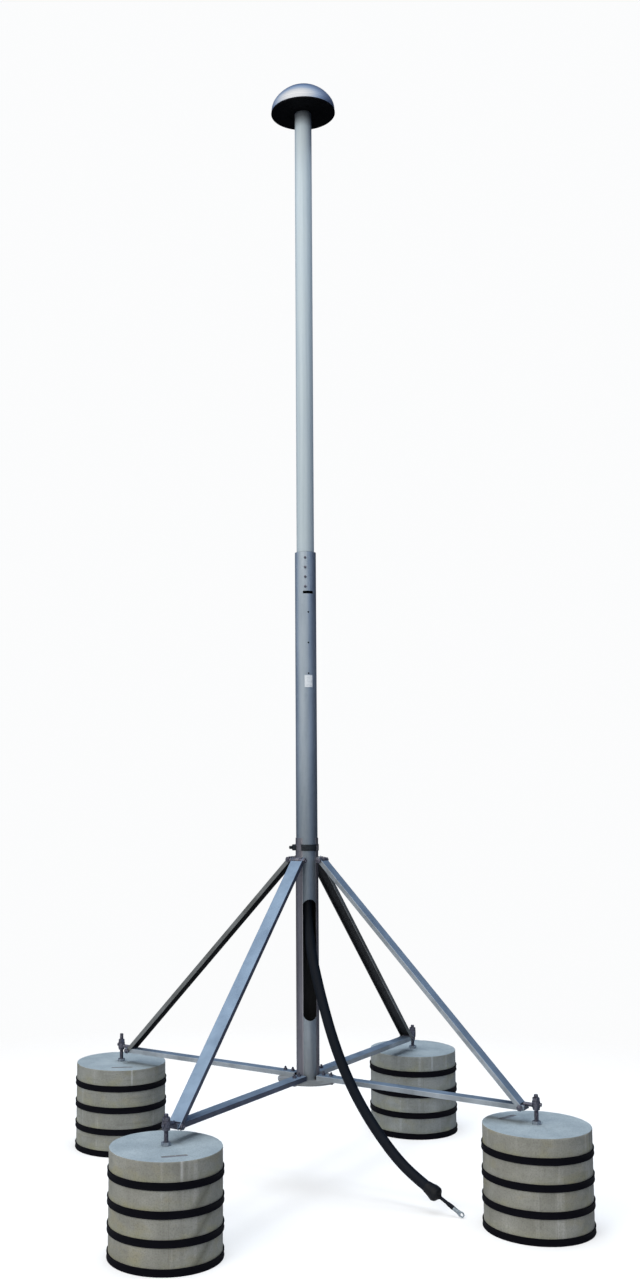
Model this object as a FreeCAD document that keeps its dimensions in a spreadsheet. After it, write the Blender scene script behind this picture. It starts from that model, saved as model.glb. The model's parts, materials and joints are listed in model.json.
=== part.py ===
"""Ballasted, free-standing antenna mast with a dome head and a thick down cable.

Millimetres, +Z up.  The origin is on the ground under the mast axis.  The socket opening and
the cable slot face -Y, and the four legs point at 45 degrees between the axes.
"""
import FreeCAD
import Part
import math
import os
import Sketcher

Vector = FreeCAD.Vector

DIMENSIONS = {
    # ballast stack under each leg
    "leg_radius": 827, "block_radius": 168.5, "block_height": 75, "block_bore": 9,
    "block_edge": 2, "nut_recess_radius": 15, "nut_recess_depth": 14,
    "mark_length": 80, "mark_width": 16, "mark_depth": 1.2, "mark_offset": 112,
    "tray_floor": 2.5, "tray_rim": 22.5, "tray_radius": 172.3, "tray_fit": 0.2,
    "stack_count": 4,
    # levelling rods and their nuts
    "stud_radius": 7, "stud_foot": 4, "stud_top": 400, "stud_top_long": 412,
    "stud_fit": 0.06, "nut_corner": 12.1, "nut_height": 11, "thin_nut_height": 7,
    "washer_radius": 15, "washer_height": 3, "eye_radius": 12.5, "eye_bottom": 360, "eye_height": 20,
    "neck_radius": 6.4, "neck_level": 366.6, "lock_gap": 0.05,
    # base plate, socket sleeve and clamp
    "plate_radius": 105.5, "plate_bottom": 343, "plate_thick": 6, "plate_drain": 12,
    "sleeve_inner": 38.15, "sleeve_wall": 2, "sleeve_top": 1175, "sleeve_half_angle": 38,
    "strap_bottom": 1131, "strap_height": 22, "strap_wall": 2, "strap_notch": 48.5,
    "clamp_radius": 6, "clamp_level": 1142, "clamp_end": 64, "clamp_nut_corner": 11,
    "clamp_nut_height": 11,
    # arms and struts, all folded channel
    "sheet_gauge": 2.5, "bend_radius": 2.2, "arm_width": 40.8, "arm_depth": 16,
    "arm_start": 44, "arm_end": 795, "arm_open_from": 768,
    "strut_width": 46, "strut_depth": 15, "head_pin_radius": 62, "head_pin_level": 1099,
    "foot_pin_radius": 782, "foot_pin_level": 357, "web_cut_head": 9.5, "web_cut_foot": 9,
    "lug_overhang": 9, "pin_radius": 5, "pin_nut_corner": 9.8, "pin_nut_height": 8,
    "pin_head_height": 6.5, "pin_hole": 5.25, "ear_thick": 12, "ear_half_height": 10,
    "ear_reach": 9, "base_bolt_radius": 4, "base_bolt_inner": 62, "base_bolt_outer": 92,
    "base_nut_corner": 7.5, "base_nut_height": 6.5, "base_bolt_top": 378,
    # mast tubes
    "lower_radius": 38.05, "lower_wall": 3, "foot_gap": 0.05, "junction_level": 2198,
    "slot_width": 50, "slot_low": 548, "slot_high": 963, "slit_width": 37,
    "slit_height": 10, "slit_level": 2050, "sight_hole_radius": 3.25, "sight_hole_low": 1758,
    "sight_hole_pitch": 110, "drain_width": 8, "drain_height": 10,
    "upper_radius": 31.5, "upper_wall": 5, "upper_foot": 2062, "upper_top": 3872,
    "bush_low": 2066, "fit": 0.05, "ring_low": 2056, "ring_bore": 20,
    "tube_screw_radius": 3, "tube_screw_head": 5, "tube_screw_high": 2176,
    "tube_screw_pitch": 35, "plate_low": 1708, "plate_tall": 43, "plate_angle": 44,
    "plate_gauge": 0.5,
    # head
    "dome_radius": 118.5, "dome_height": 99, "dome_wall": 2, "dome_knuckle": 58,
    "dome_skirt": 8, "disc_radius": 120, "disc_thick": 6, "step_inner": 109,
    "step_outer": 112.8, "step_height": 6, "hub_flange": 70, "hub_flange_thick": 8,
    "hub_neck": 30, "hub_spigot": 77, "hub_screw_circle": 60, "hub_screw_radius": 2.5,
    "post_radius": 8,
    # cable
    "cable_radius": 17.5, "cable_start": 1010, "spacer_height": 20,
    "boot_radius": 26, "boot_length": 48, "lead_radius": 5.5, "lead_length": 52,
    "lug_barrel": 6.5, "lug_barrel_length": 16, "lug_palm_width": 18, "lug_palm_length": 25,
    "lug_palm_thick": 4, "lug_hole": 5.2,
}

# The free cable's route: out of the slot, down past the front right arm, to just off the ground.
CABLE_ROUTE = [
    (0, 0, 1010), (0, 0, 930), (0.5, -20, 850), (3, -52, 770), (12, -88, 690),
    (24, -122, 612), (41, -150, 530), (64, -174, 448), (95, -195, 366), (131, -219, 290),
    (172, -249, 220), (215, -286, 156), (259, -329, 106), (301, -374, 73),
]

LEGS = {"front_right": -45, "front_left": -135, "back_right": 45, "back_left": 135}
LONG_STUD = "back_left"
MARK_FACING = {"front_right": 120, "front_left": -86, "back_right": 105, "back_left": -95}
SCREW_AZIMUTH = -105
FRONT = -90

doc = FreeCAD.newDocument("antenna_mast")
sheet = doc.addObject("Spreadsheet::Sheet", "dims")
sheet.Label = "driving dimensions"
for row, (alias, value) in enumerate(DIMENSIONS.items(), start=1):
    sheet.set(f"A{row}", alias)
    sheet.set(f"B{row}", str(value))
    sheet.setAlias(f"B{row}", alias)
doc.recompute()

nodes = {}


def size(alias):
    """A driving dimension as a number."""
    return float(sheet.get(alias))


def term(text):
    """Write an expression in driving dimensions: each alias gets the sheet's name."""
    words = str(text).replace("(", " ( ").replace(")", " ) ").split()
    return " ".join(f"dims.{word}" if word in DIMENSIONS else word for word in words)


def bind(obj, **expressions):
    for name, text in expressions.items():
        obj.setExpression(name.replace("_", ".") if "_" in name else name, term(text))
    return obj


AXES = {
    "Z": FreeCAD.Rotation(),
    "Y": FreeCAD.Rotation(Vector(1, 0, 0), -90),
    "X": FreeCAD.Rotation(Vector(0, 1, 0), 90),
    "-X": FreeCAD.Rotation(Vector(0, 1, 0), -90),
}


def locate(obj, at=(0, 0, 0), axis="Z"):
    obj.Placement = FreeCAD.Placement(Vector(0, 0, 0), AXES[axis])
    for key, text in zip("xyz", at):
        if str(text) != "0":
            obj.setExpression(f"Placement.Base.{key}", term(text))
    return obj


def cylinder(radius, height, at=(0, 0, 0), axis="Z", angle=None, start=0):
    """A cylinder, or a sector of one that begins at the start angle."""
    obj = doc.addObject("Part::Cylinder", "Cylinder")
    bind(obj, Radius=radius, Height=height)
    locate(obj, at, axis)
    if angle is not None:
        bind(obj, Angle=angle)
        obj.Placement.Rotation = FreeCAD.Rotation(Vector(0, 0, 1), start)
    return obj


def box(low, sizes):
    obj = doc.addObject("Part::Box", "Box")
    bind(obj, Length=sizes[0], Width=sizes[1], Height=sizes[2])
    return locate(obj, low)


def hexagon(corner, height, at=(0, 0, 0), axis="Z"):
    obj = doc.addObject("Part::Prism", "Hexagon")
    obj.Polygon = 6
    bind(obj, Circumradius=corner, Height=height)
    return locate(obj, at, axis)


def cut(base, *tools):
    obj = doc.addObject("Part::Cut", "Cut")
    obj.Base = base
    obj.Tool = tools[0] if len(tools) == 1 else fuse(*tools)
    return obj


def fuse(*shapes):
    obj = doc.addObject("Part::MultiFuse", "Fusion")
    obj.Shapes = list(shapes)
    return obj


def group(*pieces):
    obj = doc.addObject("Part::Compound", "Group")
    obj.Links = list(pieces)
    return obj


def turned(obj, azimuth):
    """Turn a finished piece about the mast axis."""
    obj.Placement = FreeCAD.Placement(Vector(0, 0, 0), FreeCAD.Rotation(Vector(0, 0, 1), azimuth))
    return obj


def node(label, obj):
    obj.Label = label
    nodes[label] = obj
    return obj


def ring(inner, outer, height, low):
    return cut(cylinder(outer, height, (0, 0, low)),
               cylinder(inner, f"{height} + 2", (0, 0, f"{low} - 1")))


def nut(corner, bore, height, at, axis="Z"):
    return cut(hexagon(corner, height, at, axis), cylinder(bore, height, at, axis))


def origin_plane(body, role):
    return next(item for item in body.Origin.OriginFeatures if item.Role == role)


def new_sketch(body, name, role):
    sketch = body.newObject("Sketcher::SketchObject", name)
    sketch.AttachmentSupport = [(origin_plane(body, role), "")]
    sketch.MapMode = "FlatFace"
    return sketch


def add_rectangle(sketch, width, depth, left, bottom):
    """A rectangle whose sides and corner are bound to the sheet."""
    corners = [Vector(0, 0, 0), Vector(10, 0, 0), Vector(10, 10, 0), Vector(0, 10, 0)]
    for index in range(4):
        sketch.addGeometry(Part.LineSegment(corners[index], corners[(index + 1) % 4]))
    for index in range(4):
        sketch.addConstraint(Sketcher.Constraint("Coincident", index, 2, (index + 1) % 4, 1))
    for kind, index in (("Horizontal", 0), ("Vertical", 1), ("Horizontal", 2), ("Vertical", 3)):
        sketch.addConstraint(Sketcher.Constraint(kind, index))
    named = (
        ("width", Sketcher.Constraint("DistanceX", 0, 1, 0, 2, 10.0), width),
        ("depth", Sketcher.Constraint("DistanceY", 1, 1, 1, 2, 10.0), depth),
        ("left", Sketcher.Constraint("DistanceX", -1, 1, 0, 1, 1.0), left),
        ("bottom", Sketcher.Constraint("DistanceY", -1, 1, 0, 1, 1.0), bottom),
    )
    for name, constraint, text in named:
        index = sketch.addConstraint(constraint)
        sketch.renameConstraint(index, name)
        sketch.setExpression(f"Constraints.{name}", term(text))


def pad(body, name, sketch, length):
    feature = body.newObject("PartDesign::Pad", name)
    feature.Profile = sketch
    feature.setExpression("Length", term(length))
    return feature


def channel(width, depth, length):
    """A folded channel along +X with its web on top and both bends rounded."""
    body = doc.addObject("PartDesign::Body", "Channel")
    outline = new_sketch(body, "ChannelOutline", "YZ_Plane")
    add_rectangle(outline, width, depth, f"0 - {width} / 2", "0")
    pad(body, "ChannelPad", outline, length)
    hollow = new_sketch(body, "ChannelHollow", "YZ_Plane")
    add_rectangle(hollow, f"{width} - 2 * sheet_gauge", f"{depth} - sheet_gauge",
                  f"sheet_gauge - {width} / 2", "0")
    pocket = body.newObject("PartDesign::Pocket", "ChannelPocket")
    pocket.Profile = hollow
    pocket.Reversed = True
    pocket.Type = "ThroughAll"
    doc.recompute()
    solid = pocket.Shape
    top = solid.BoundBox.ZMax
    edges = [f"Edge{number}" for number, edge in enumerate(solid.Edges, start=1)
             if edge.BoundBox.XLength > 1 and edge.BoundBox.ZMin > top - 0.01]
    bends = body.newObject("PartDesign::Fillet", "ChannelBends")
    bends.Base = (pocket, edges)
    bends.setExpression("Radius", term("bend_radius"))
    body.Tip = bends
    return body


def revolve(name, make_outline):
    """A body of revolution about Z from a closed outline in the XZ plane."""
    body = doc.addObject("PartDesign::Body", name)
    sketch = new_sketch(body, f"{name}Outline", "XZ_Plane")
    for geometry in make_outline():
        sketch.addGeometry(geometry)
    feature = body.newObject("PartDesign::Revolution", f"{name}Turn")
    feature.Profile = sketch
    feature.ReferenceAxis = (sketch, ["V_Axis"])
    feature.Angle = 360
    return body


# ---------------------------------------------------------------- ballast and levelling rods
PITCH = "( block_height + tray_floor )"
STACK_TOP = f"{PITCH} * stack_count"


def ballast_block(level, mark_turn):
    """One round concrete block, with its bore, nut recess and blank marking recess."""
    bottom = f"{PITCH} * {level} + tray_floor"
    body = cylinder("block_radius", "block_height", ("leg_radius", 0, bottom))
    doc.recompute()
    edges = [(number, size("block_edge"), size("block_edge"))
             for number, edge in enumerate(body.Shape.Edges, start=1) if edge.Closed]
    chamfer = doc.addObject("Part::Chamfer", "BlockEdges")
    chamfer.Base = body
    chamfer.Edges = edges
    bore = cylinder("block_bore", "block_height", ("leg_radius", 0, bottom))
    recess = cylinder("nut_recess_radius", "nut_recess_depth", ("leg_radius", 0, bottom))
    mark = box(("leg_radius + mark_offset - mark_width / 2", "0 - mark_length / 2",
                f"{bottom} + block_height - mark_depth"),
               ("mark_width", "mark_length", "mark_depth"))
    facing = group(mark)
    facing.Placement = FreeCAD.Placement(Vector(0, 0, 0), FreeCAD.Rotation(Vector(0, 0, 1), mark_turn),
                                         Vector(size("leg_radius"), 0, 0))
    return cut(chamfer, bore, recess, facing)


def edge_tray(level):
    """The black edge tray that each block stands in."""
    bottom = f"{PITCH} * {level}"
    outer = cylinder("tray_radius", "tray_rim", ("leg_radius", 0, bottom))
    inner = cylinder("block_radius + tray_fit", "tray_rim", ("leg_radius", 0, f"{bottom} + tray_floor"))
    hole = cylinder("block_bore", "tray_rim", ("leg_radius", 0, bottom))
    return cut(outer, inner, hole)


for leg, azimuth in LEGS.items():
    levels = range(int(size("stack_count")))
    mark_turn = MARK_FACING[leg] - azimuth
    node(f"blocks_{leg}",
         group(*[turned(ballast_block(level, mark_turn), azimuth) for level in levels]))
    node(f"trays_{leg}", group(*[turned(edge_tray(level), azimuth) for level in levels]))

    stud_end = "stud_top_long" if leg == LONG_STUD else "stud_top"
    stud = cylinder("stud_radius", f"{stud_end} - stud_foot", ("leg_radius", 0, "stud_foot"))
    node(f"threaded_rod_{leg}", turned(group(stud), azimuth))

    foot_nut = nut("nut_corner", "stud_radius", "nut_height",
                   ("leg_radius", 0, "tray_floor + nut_recess_depth - nut_height"))
    washer = cut(cylinder("washer_radius", "washer_height", ("leg_radius", 0, STACK_TOP)),
                 cylinder("stud_radius", "washer_height", ("leg_radius", 0, STACK_TOP)))
    stack_nut = nut("nut_corner", "stud_radius", "thin_nut_height",
                    ("leg_radius", 0, f"{STACK_TOP} + washer_height"))
    node(f"rod_nuts_{leg}", turned(group(foot_nut, washer, stack_nut), azimuth))

    lower_lock = nut("nut_corner", "stud_radius + stud_fit", "thin_nut_height",
                     ("leg_radius", 0, "eye_bottom - thin_nut_height - lock_gap"))
    upper_lock = nut("nut_corner", "stud_radius + stud_fit", "nut_height",
                     ("leg_radius", 0, "eye_bottom + eye_height + lock_gap"))
    node(f"lock_nuts_{leg}", turned(group(lower_lock, upper_lock), azimuth))

# ---------------------------------------------------------------- arms and struts
PLATE_TOP = "( plate_bottom + plate_thick )"
RUN = size("foot_pin_radius") - size("head_pin_radius")
DROP = size("head_pin_level") - size("foot_pin_level")
STRUT_LENGTH = math.hypot(RUN, DROP)
STRUT_SLOPE = math.degrees(math.atan2(DROP, RUN))


def cross_pin(radius, length, at):
    """A tangential cylinder centred on the leg's plane."""
    return cylinder(radius, length, (at[0], f"0 - {length} / 2", at[1]), "Y")


def arm():
    """The horizontal channel from the base plate to the levelling eye."""
    body = channel("arm_width", "arm_depth", "arm_end - arm_start")
    locate(body, ("arm_start", 0, PLATE_TOP))
    opening = box(("arm_open_from", "sheet_gauge - arm_width / 2", PLATE_TOP),
                  ("arm_end - arm_open_from + 1", "arm_width - 2 * sheet_gauge", "arm_depth + 1"))
    pin = cross_pin("pin_hole", "100", ("foot_pin_radius", "foot_pin_level"))
    holes = [cylinder("base_bolt_radius + 0.25", "40", (place, 0, PLATE_TOP))
             for place in ("base_bolt_inner", "base_bolt_outer")]
    return cut(body, opening, pin, *holes)


def strut():
    """The sloping channel, its web cut back at both ends so that its flanges become lugs."""
    overhang = size("lug_overhang")
    body = channel("strut_width", "strut_depth", f"{STRUT_LENGTH} + 2 * lug_overhang")
    body.Placement.Base = Vector(-overhang, 0, 0)
    depth = "strut_depth"
    inner = "strut_width - 2 * sheet_gauge"
    head_cut = box(("0 - 2 * lug_overhang", f"0 - ( {inner} ) / 2", 0),
                   ("2 * lug_overhang + web_cut_head", inner, f"{depth} + 1"))
    foot_cut = box((f"{STRUT_LENGTH} - web_cut_foot", f"0 - ( {inner} ) / 2", 0),
                   ("web_cut_foot + 2 * lug_overhang", inner, f"{depth} + 1"))
    holes = [cross_pin("pin_hole", "100", (place, f"{depth} / 2")) for place in ("0", STRUT_LENGTH)]
    shape = cut(body, head_cut, foot_cut, *holes)
    lift = FreeCAD.Placement(Vector(0, 0, -size("strut_depth") / 2), FreeCAD.Rotation())
    slope = FreeCAD.Placement(Vector(size("head_pin_radius"), 0, size("head_pin_level")),
                              FreeCAD.Rotation(Vector(0, 1, 0), STRUT_SLOPE))
    shape.Placement = slope.multiply(lift)
    return group(shape)


def pin_bolt(at):
    """A hexagon bolt across the channel's lugs, with its nut."""
    half = "strut_width / 2"
    length = "strut_width + pin_nut_height + 4"
    shank = cylinder("pin_radius", length, (at[0], f"0 - {half}", at[1]), "Y")
    head = hexagon("pin_nut_corner", "pin_head_height",
                   (at[0], f"0 - {half} - pin_head_height", at[1]), "Y")
    return [fuse(shank, head),
            nut("pin_nut_corner", "pin_radius", "pin_nut_height", (at[0], half, at[1]), "Y")]


def ear():
    """The welded lug on the sleeve that a strut's head hangs on."""
    low = "head_pin_level - ear_half_height"
    plate = box(("sleeve_inner", "0 - ear_thick / 2", low),
                ("head_pin_radius - sleeve_inner", "ear_thick", "2 * ear_half_height"))
    nose = cross_pin("ear_half_height", "ear_thick", ("head_pin_radius", "head_pin_level"))
    sleeve = cylinder("sleeve_inner + sleeve_wall", "6 * ear_half_height", (0, 0, f"{low} - 5"))
    hole = cross_pin("pin_hole", "100", ("head_pin_radius", "head_pin_level"))
    return cut(fuse(plate, nose), sleeve, hole)


def head_spacers():
    """Two tubes that fill the strut head between its lugs and the ear."""
    length = "( strut_width / 2 - sheet_gauge - ear_thick / 2 )"
    pieces = []
    for side, start in ((1, "ear_thick / 2"), (-1, f"0 - ear_thick / 2 - {length}")):
        at = ("head_pin_radius", start, "head_pin_level")
        pieces.append(cut(cylinder("pin_radius + 3.5", length, at, "Y"),
                          cylinder("pin_hole", length, at, "Y")))
    return pieces


def rod_eye():
    """The levelling eye: a bored boss on the rod, with a neck and a block inside the arm."""
    boss = cylinder("eye_radius", "eye_height", ("leg_radius", 0, "eye_bottom"))
    neck = cylinder("neck_radius", "leg_radius - arm_end + 8", ("arm_end - 8", 0, "neck_level"), "X")
    inside = "( arm_width - 2 * sheet_gauge - 0.2 )"
    block = box(("arm_open_from + 1.5", f"0 - {inside} / 2", f"{PLATE_TOP} + 1"),
                ("arm_end - arm_open_from - 2", inside, "arm_depth"))
    bore = cylinder("stud_radius + stud_fit", "eye_height + 2", ("leg_radius", 0, "eye_bottom - 1"))
    pin = cross_pin("pin_hole", "100", ("foot_pin_radius", "foot_pin_level"))
    set_hole = cylinder("3", "eye_radius + 4", ("leg_radius", 0, "eye_bottom + eye_height / 2"), "X")
    return cut(fuse(boss, neck, block), bore, pin, set_hole)


def eye_screw():
    """The small set screw in the eye's outer face."""
    level = "eye_bottom + eye_height / 2"
    shank = cylinder("3", "eye_radius - stud_radius - stud_fit",
                     ("leg_radius + stud_radius + stud_fit", 0, level), "X")
    head = hexagon("6", "5", ("leg_radius + eye_radius", 0, level), "X")
    return fuse(shank, head)


def base_bolt(place):
    """An upright bolt through the base plate and an arm's web, with its nut."""
    web_top = f"{PLATE_TOP} + arm_depth"
    shank = cylinder("base_bolt_radius", "base_bolt_top - plate_bottom", (place, 0, "plate_bottom"))
    head = hexagon("base_nut_corner", "5.5", (place, 0, "plate_bottom - 5.5"))
    return [fuse(shank, head),
            nut("base_nut_corner", "base_bolt_radius", "base_nut_height", (place, 0, web_top))]


shared = {label: [] for label in ("strut_ears", "strut_head_bolts", "strut_head_spacers",
                                  "arm_end_bolts", "base_bolts", "rod_eyes", "eye_screws")}
for leg, azimuth in LEGS.items():
    node(f"arm_{leg}", turned(arm(), azimuth))
    node(f"strut_{leg}", turned(strut(), azimuth))
    head_pin = ("head_pin_radius", "head_pin_level")
    foot_pin = ("foot_pin_radius", "foot_pin_level")
    made = {
        "strut_ears": [ear()],
        "strut_head_bolts": pin_bolt(head_pin),
        "strut_head_spacers": head_spacers(),
        "arm_end_bolts": pin_bolt(foot_pin),
        "base_bolts": base_bolt("base_bolt_inner") + base_bolt("base_bolt_outer"),
        "rod_eyes": [rod_eye()],
        "eye_screws": [eye_screw()],
    }
    for label, pieces in made.items():
        shared[label].append(turned(group(*pieces), azimuth))
for label, pieces in shared.items():
    node(label, group(*pieces))

# ---------------------------------------------------------------- base plate and socket
bolt_holes = [turned(group(cylinder("base_bolt_radius + 0.25", "plate_thick",
                                   (place, 0, "plate_bottom"))), azimuth)
              for azimuth in LEGS.values() for place in ("base_bolt_inner", "base_bolt_outer")]
node("base_plate", cut(cylinder("plate_radius", "plate_thick", (0, 0, "plate_bottom")),
                       cylinder("plate_drain", "plate_thick", (0, 0, "plate_bottom")),
                       *bolt_holes))


def opening(half_angle, low, height):
    """A wedge about the axis, centred on the front, as a cutting tool."""
    return cylinder("100", height, (0, 0, low), angle=f"2 * {half_angle}",
                    start=FRONT - size(half_angle))


sleeve_outer = "( sleeve_inner + sleeve_wall )"
sleeve = ring("sleeve_inner", sleeve_outer, f"sleeve_top - {PLATE_TOP}", PLATE_TOP)
clamp_hole = cylinder("clamp_radius + 0.2", "40", ("0 - sleeve_inner + 10", 0, "clamp_level"), "-X")
node("socket_sleeve", cut(sleeve,
                          opening("sleeve_half_angle", PLATE_TOP, f"sleeve_top - {PLATE_TOP}"),
                          opening("strap_notch", "strap_bottom - 1.5", "strap_height + 3"),
                          clamp_hole))


def sector(inner, outer, half_angle, facing):
    """Part of a ring at the strap's height, centred on a facing angle."""
    outer_part = cylinder(outer, "strap_height", (0, 0, "strap_bottom"),
                          angle=f"2 * {half_angle}", start=facing - half_angle)
    return cut(outer_part, cylinder(inner, "strap_height", (0, 0, "strap_bottom")))


STRAP_STEP = 45.5
STRAP_JOGGLE = 1.2
strap_low = "sleeve_inner"
strap_outer = f"{sleeve_outer} + 0.05 + strap_wall"
front_band = sector(strap_low, f"{strap_low} + strap_wall", STRAP_STEP, FRONT)
back_band = sector(f"{sleeve_outer} + 0.05", strap_outer, 180 - STRAP_STEP, FRONT + 180)
joggles = [sector(strap_low, strap_outer, STRAP_JOGGLE, FRONT + side * (STRAP_STEP + STRAP_JOGGLE - 0.1))
           for side in (-1, 1)]
strap_hole = cylinder("clamp_radius + 0.1", "40", ("0 - sleeve_inner + 10", 0, "clamp_level"), "-X")
node("clamp_strap", cut(fuse(front_band, back_band, *joggles), strap_hole))

screw_tip = "( lower_radius + fit )"
screw_low = ("0 - " + screw_tip, 0, "clamp_level")
node("clamp_screw", group(cylinder("clamp_radius", f"clamp_end - {screw_tip}", screw_low, "-X")))
nut_seat = (f"0 - ( {strap_outer} )", 0, "clamp_level")
node("clamp_nut", nut("clamp_nut_corner", "clamp_radius", "clamp_nut_height", nut_seat, "-X"))

# ---------------------------------------------------------------- mast tubes
tube_bore = "( lower_radius - lower_wall )"
tube_foot = f"( {PLATE_TOP} + foot_gap )"
tube = ring(tube_bore, "lower_radius", f"junction_level - {tube_foot}", tube_foot)
slot_ends = [cylinder("slot_width / 2", "60", (0, "0 - 70", level), "Y")
             for level in ("slot_low + slot_width / 2", "slot_high - slot_width / 2")]
slot_run = box(("0 - slot_width / 2", "0 - 70", "slot_low + slot_width / 2"),
               ("slot_width", "60", "slot_high - slot_low - slot_width"))
slit = box(("0 - slit_width / 2", "0 - 60", "slit_level - slit_height / 2"),
           ("slit_width", "45", "slit_height"))
sight_holes = [cylinder("sight_hole_radius", "50",
                        (0, "0 - 60", f"sight_hole_low + {step} * sight_hole_pitch"), "Y")
               for step in range(3)]
drains = [turned(group(box(("lower_radius - 10", "0 - drain_width / 2", tube_foot),
                           ("20", "drain_width", "drain_height"))), FRONT + side * 29)
          for side in (-1, 1)]
screw_levels = [f"tube_screw_high - {step} * tube_screw_pitch" for step in range(4)]


def screw_holes(radius):
    """Radial holes for the four screws of the tube joint."""
    return [turned(group(cylinder(radius, "20", ("25", 0, level), "X")), SCREW_AZIMUTH)
            for level in screw_levels]


node("lower_tube", cut(tube, *slot_ends, slot_run, slit, *sight_holes, *drains,
                       *screw_holes("tube_screw_radius + 0.1")))
node("upper_tube", ring("upper_radius - upper_wall", "upper_radius", "upper_top - upper_foot",
                        "upper_foot"))
node("reducer_bush", cut(ring("upper_radius + fit", f"{tube_bore} - fit",
                              "junction_level + 1 - bush_low", "bush_low"),
                         *screw_holes("tube_screw_radius + 0.1")))
node("support_ring", ring("ring_bore", f"{tube_bore} - fit", "upper_foot - ring_low", "ring_low"))

tube_screws = []
for level in screw_levels:
    shank = cylinder("tube_screw_radius", "lower_radius - upper_radius + 0.5",
                     ("upper_radius", 0, level), "X")
    head = hexagon("tube_screw_head", "3.2", ("lower_radius", 0, level), "X")
    tube_screws.append(turned(fuse(shank, head), SCREW_AZIMUTH))
node("tube_screws", group(*tube_screws))

face = cylinder("lower_radius + plate_gauge", "plate_tall", (0, 0, "plate_low"),
                angle="plate_angle", start=FRONT - size("plate_angle") / 2)
node("label_plate", cut(face, cylinder("lower_radius", "plate_tall", (0, 0, "plate_low"))))

# ---------------------------------------------------------------- head
DISC_TOP = size("upper_top") + size("disc_thick")


def dome_arc(centre, radius, low, high):
    """An arc of the dome's outline between two angles, as three points in the XZ plane."""
    points = [Vector(centre[0] + radius * math.cos(angle), centre[1] + radius * math.sin(angle), 0)
              for angle in (low, (low + high) / 2, high)]
    return Part.Arc(*points), points[0], points[2]


def dome_outline():
    """A short skirt, a knuckle and a flatter crown, with the wall's thickness inside."""
    outer = size("dome_radius")
    wall = size("dome_wall")
    knuckle = size("dome_knuckle")
    skirt = DISC_TOP + size("dome_skirt")
    apex = DISC_TOP + size("dome_height")
    offset = outer - knuckle
    rise = apex - skirt
    crown = (offset ** 2 + rise ** 2 - knuckle ** 2) / (2 * (rise - knuckle))
    crown_centre = (0, apex - crown)
    meet = math.atan2(skirt - crown_centre[1], offset)
    parts = []
    ends = []
    for inset in (0, wall):
        turn, start, join = dome_arc((offset, skirt), knuckle - inset, 0, meet)
        top = dome_arc(crown_centre, crown - inset, meet, math.pi / 2)[0]
        foot = Vector(outer - inset, DISC_TOP, 0)
        parts += [Part.LineSegment(foot, start), turn, top]
        ends.append((foot, Vector(0, apex - inset, 0)))
    (foot_out, top_out), (foot_in, top_in) = ends
    return parts + [Part.LineSegment(foot_out, foot_in), Part.LineSegment(top_out, top_in)]


node("dome_shell", revolve("DomeShell", dome_outline))
screw_ring = [(f"hub_screw_circle * {math.cos(angle):.9f}", f"hub_screw_circle * {math.sin(angle):.9f}")
              for angle in (math.radians(30 + 60 * step) for step in range(6))]


def hub_screw_holes(low, height):
    return [cylinder("hub_screw_radius + 0.05", height, (x, y, low)) for x, y in screw_ring]


disc_top = "( upper_top + disc_thick )"
disc = cylinder("disc_radius", "disc_thick", (0, 0, "upper_top"))
step_ring = ring("step_inner", "step_outer", "step_height + 1", f"{disc_top} - 1")
node("dome_base", cut(fuse(disc, step_ring),
                      cylinder("hub_neck + 0.1", "disc_thick", (0, 0, "upper_top")),
                      *hub_screw_holes("upper_top", "disc_thick")))
node("dome_seal", ring("step_outer + fit", "dome_radius - dome_wall - fit", "step_height - 1", disc_top))

spigot_low = "( upper_top - hub_spigot )"
spigot = cylinder("upper_radius - upper_wall - fit", "hub_spigot + 1", (0, 0, spigot_low))
neck = cylinder("hub_neck", "disc_thick + 1", (0, 0, "upper_top"))
flange = cylinder("hub_flange", "hub_flange_thick", (0, 0, disc_top))
node("head_hub", cut(fuse(spigot, neck, flange), *hub_screw_holes(disc_top, "hub_flange_thick")))
node("contact_post", group(cylinder("post_radius", "dome_height - dome_wall - hub_flange_thick - 0.3",
                                    (0, 0, f"{disc_top} + hub_flange_thick"))))
dome_screws = []
for x, y in screw_ring:
    shank = cylinder("hub_screw_radius", "disc_thick + 6", (x, y, "upper_top"))
    head = cylinder("2 * hub_screw_radius", "2.8", (x, y, "upper_top - 2.8"))
    dome_screws.append(fuse(shank, head))
node("dome_screws", group(*dome_screws))

# ---------------------------------------------------------------- cable
node("inner_cable", group(cylinder("cable_radius", f"{spigot_low} - cable_start",
                                   (0, 0, "cable_start"))))
spacers = [ring("cable_radius + fit", f"{tube_bore} - fit", "spacer_height", level)
           for level in ("1100", "1500", "1900")]
spacers += [ring("cable_radius + fit", "upper_radius - upper_wall - fit", "spacer_height", level)
            for level in ("2500", "3000", "3500")]
node("cable_spacers", group(*spacers))


def rounded_path(points):
    """Straight runs joined by tangent arcs as large as their runs allow."""
    points = [Vector(*point) for point in points]
    edges = []
    radii = []
    here = points[0]
    for before, corner, after in zip(points, points[1:], points[2:]):
        back = (before - corner).normalize()
        ahead = (after - corner).normalize()
        half_turn = (math.pi - back.getAngle(ahead)) / 2
        reach = 0.45 * min((before - corner).Length, (after - corner).Length)
        radius = reach / math.tan(half_turn)
        bisector = (back + ahead).normalize()
        middle = corner + bisector * (radius / math.cos(half_turn) - radius)
        start, end = corner + back * reach, corner + ahead * reach
        edges += [Part.LineSegment(here, start).toShape(), Part.Arc(start, middle, end).toShape()]
        radii.append(radius)
        here = end
    edges.append(Part.LineSegment(here, points[-1]).toShape())
    return Part.Wire(edges), radii


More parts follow.
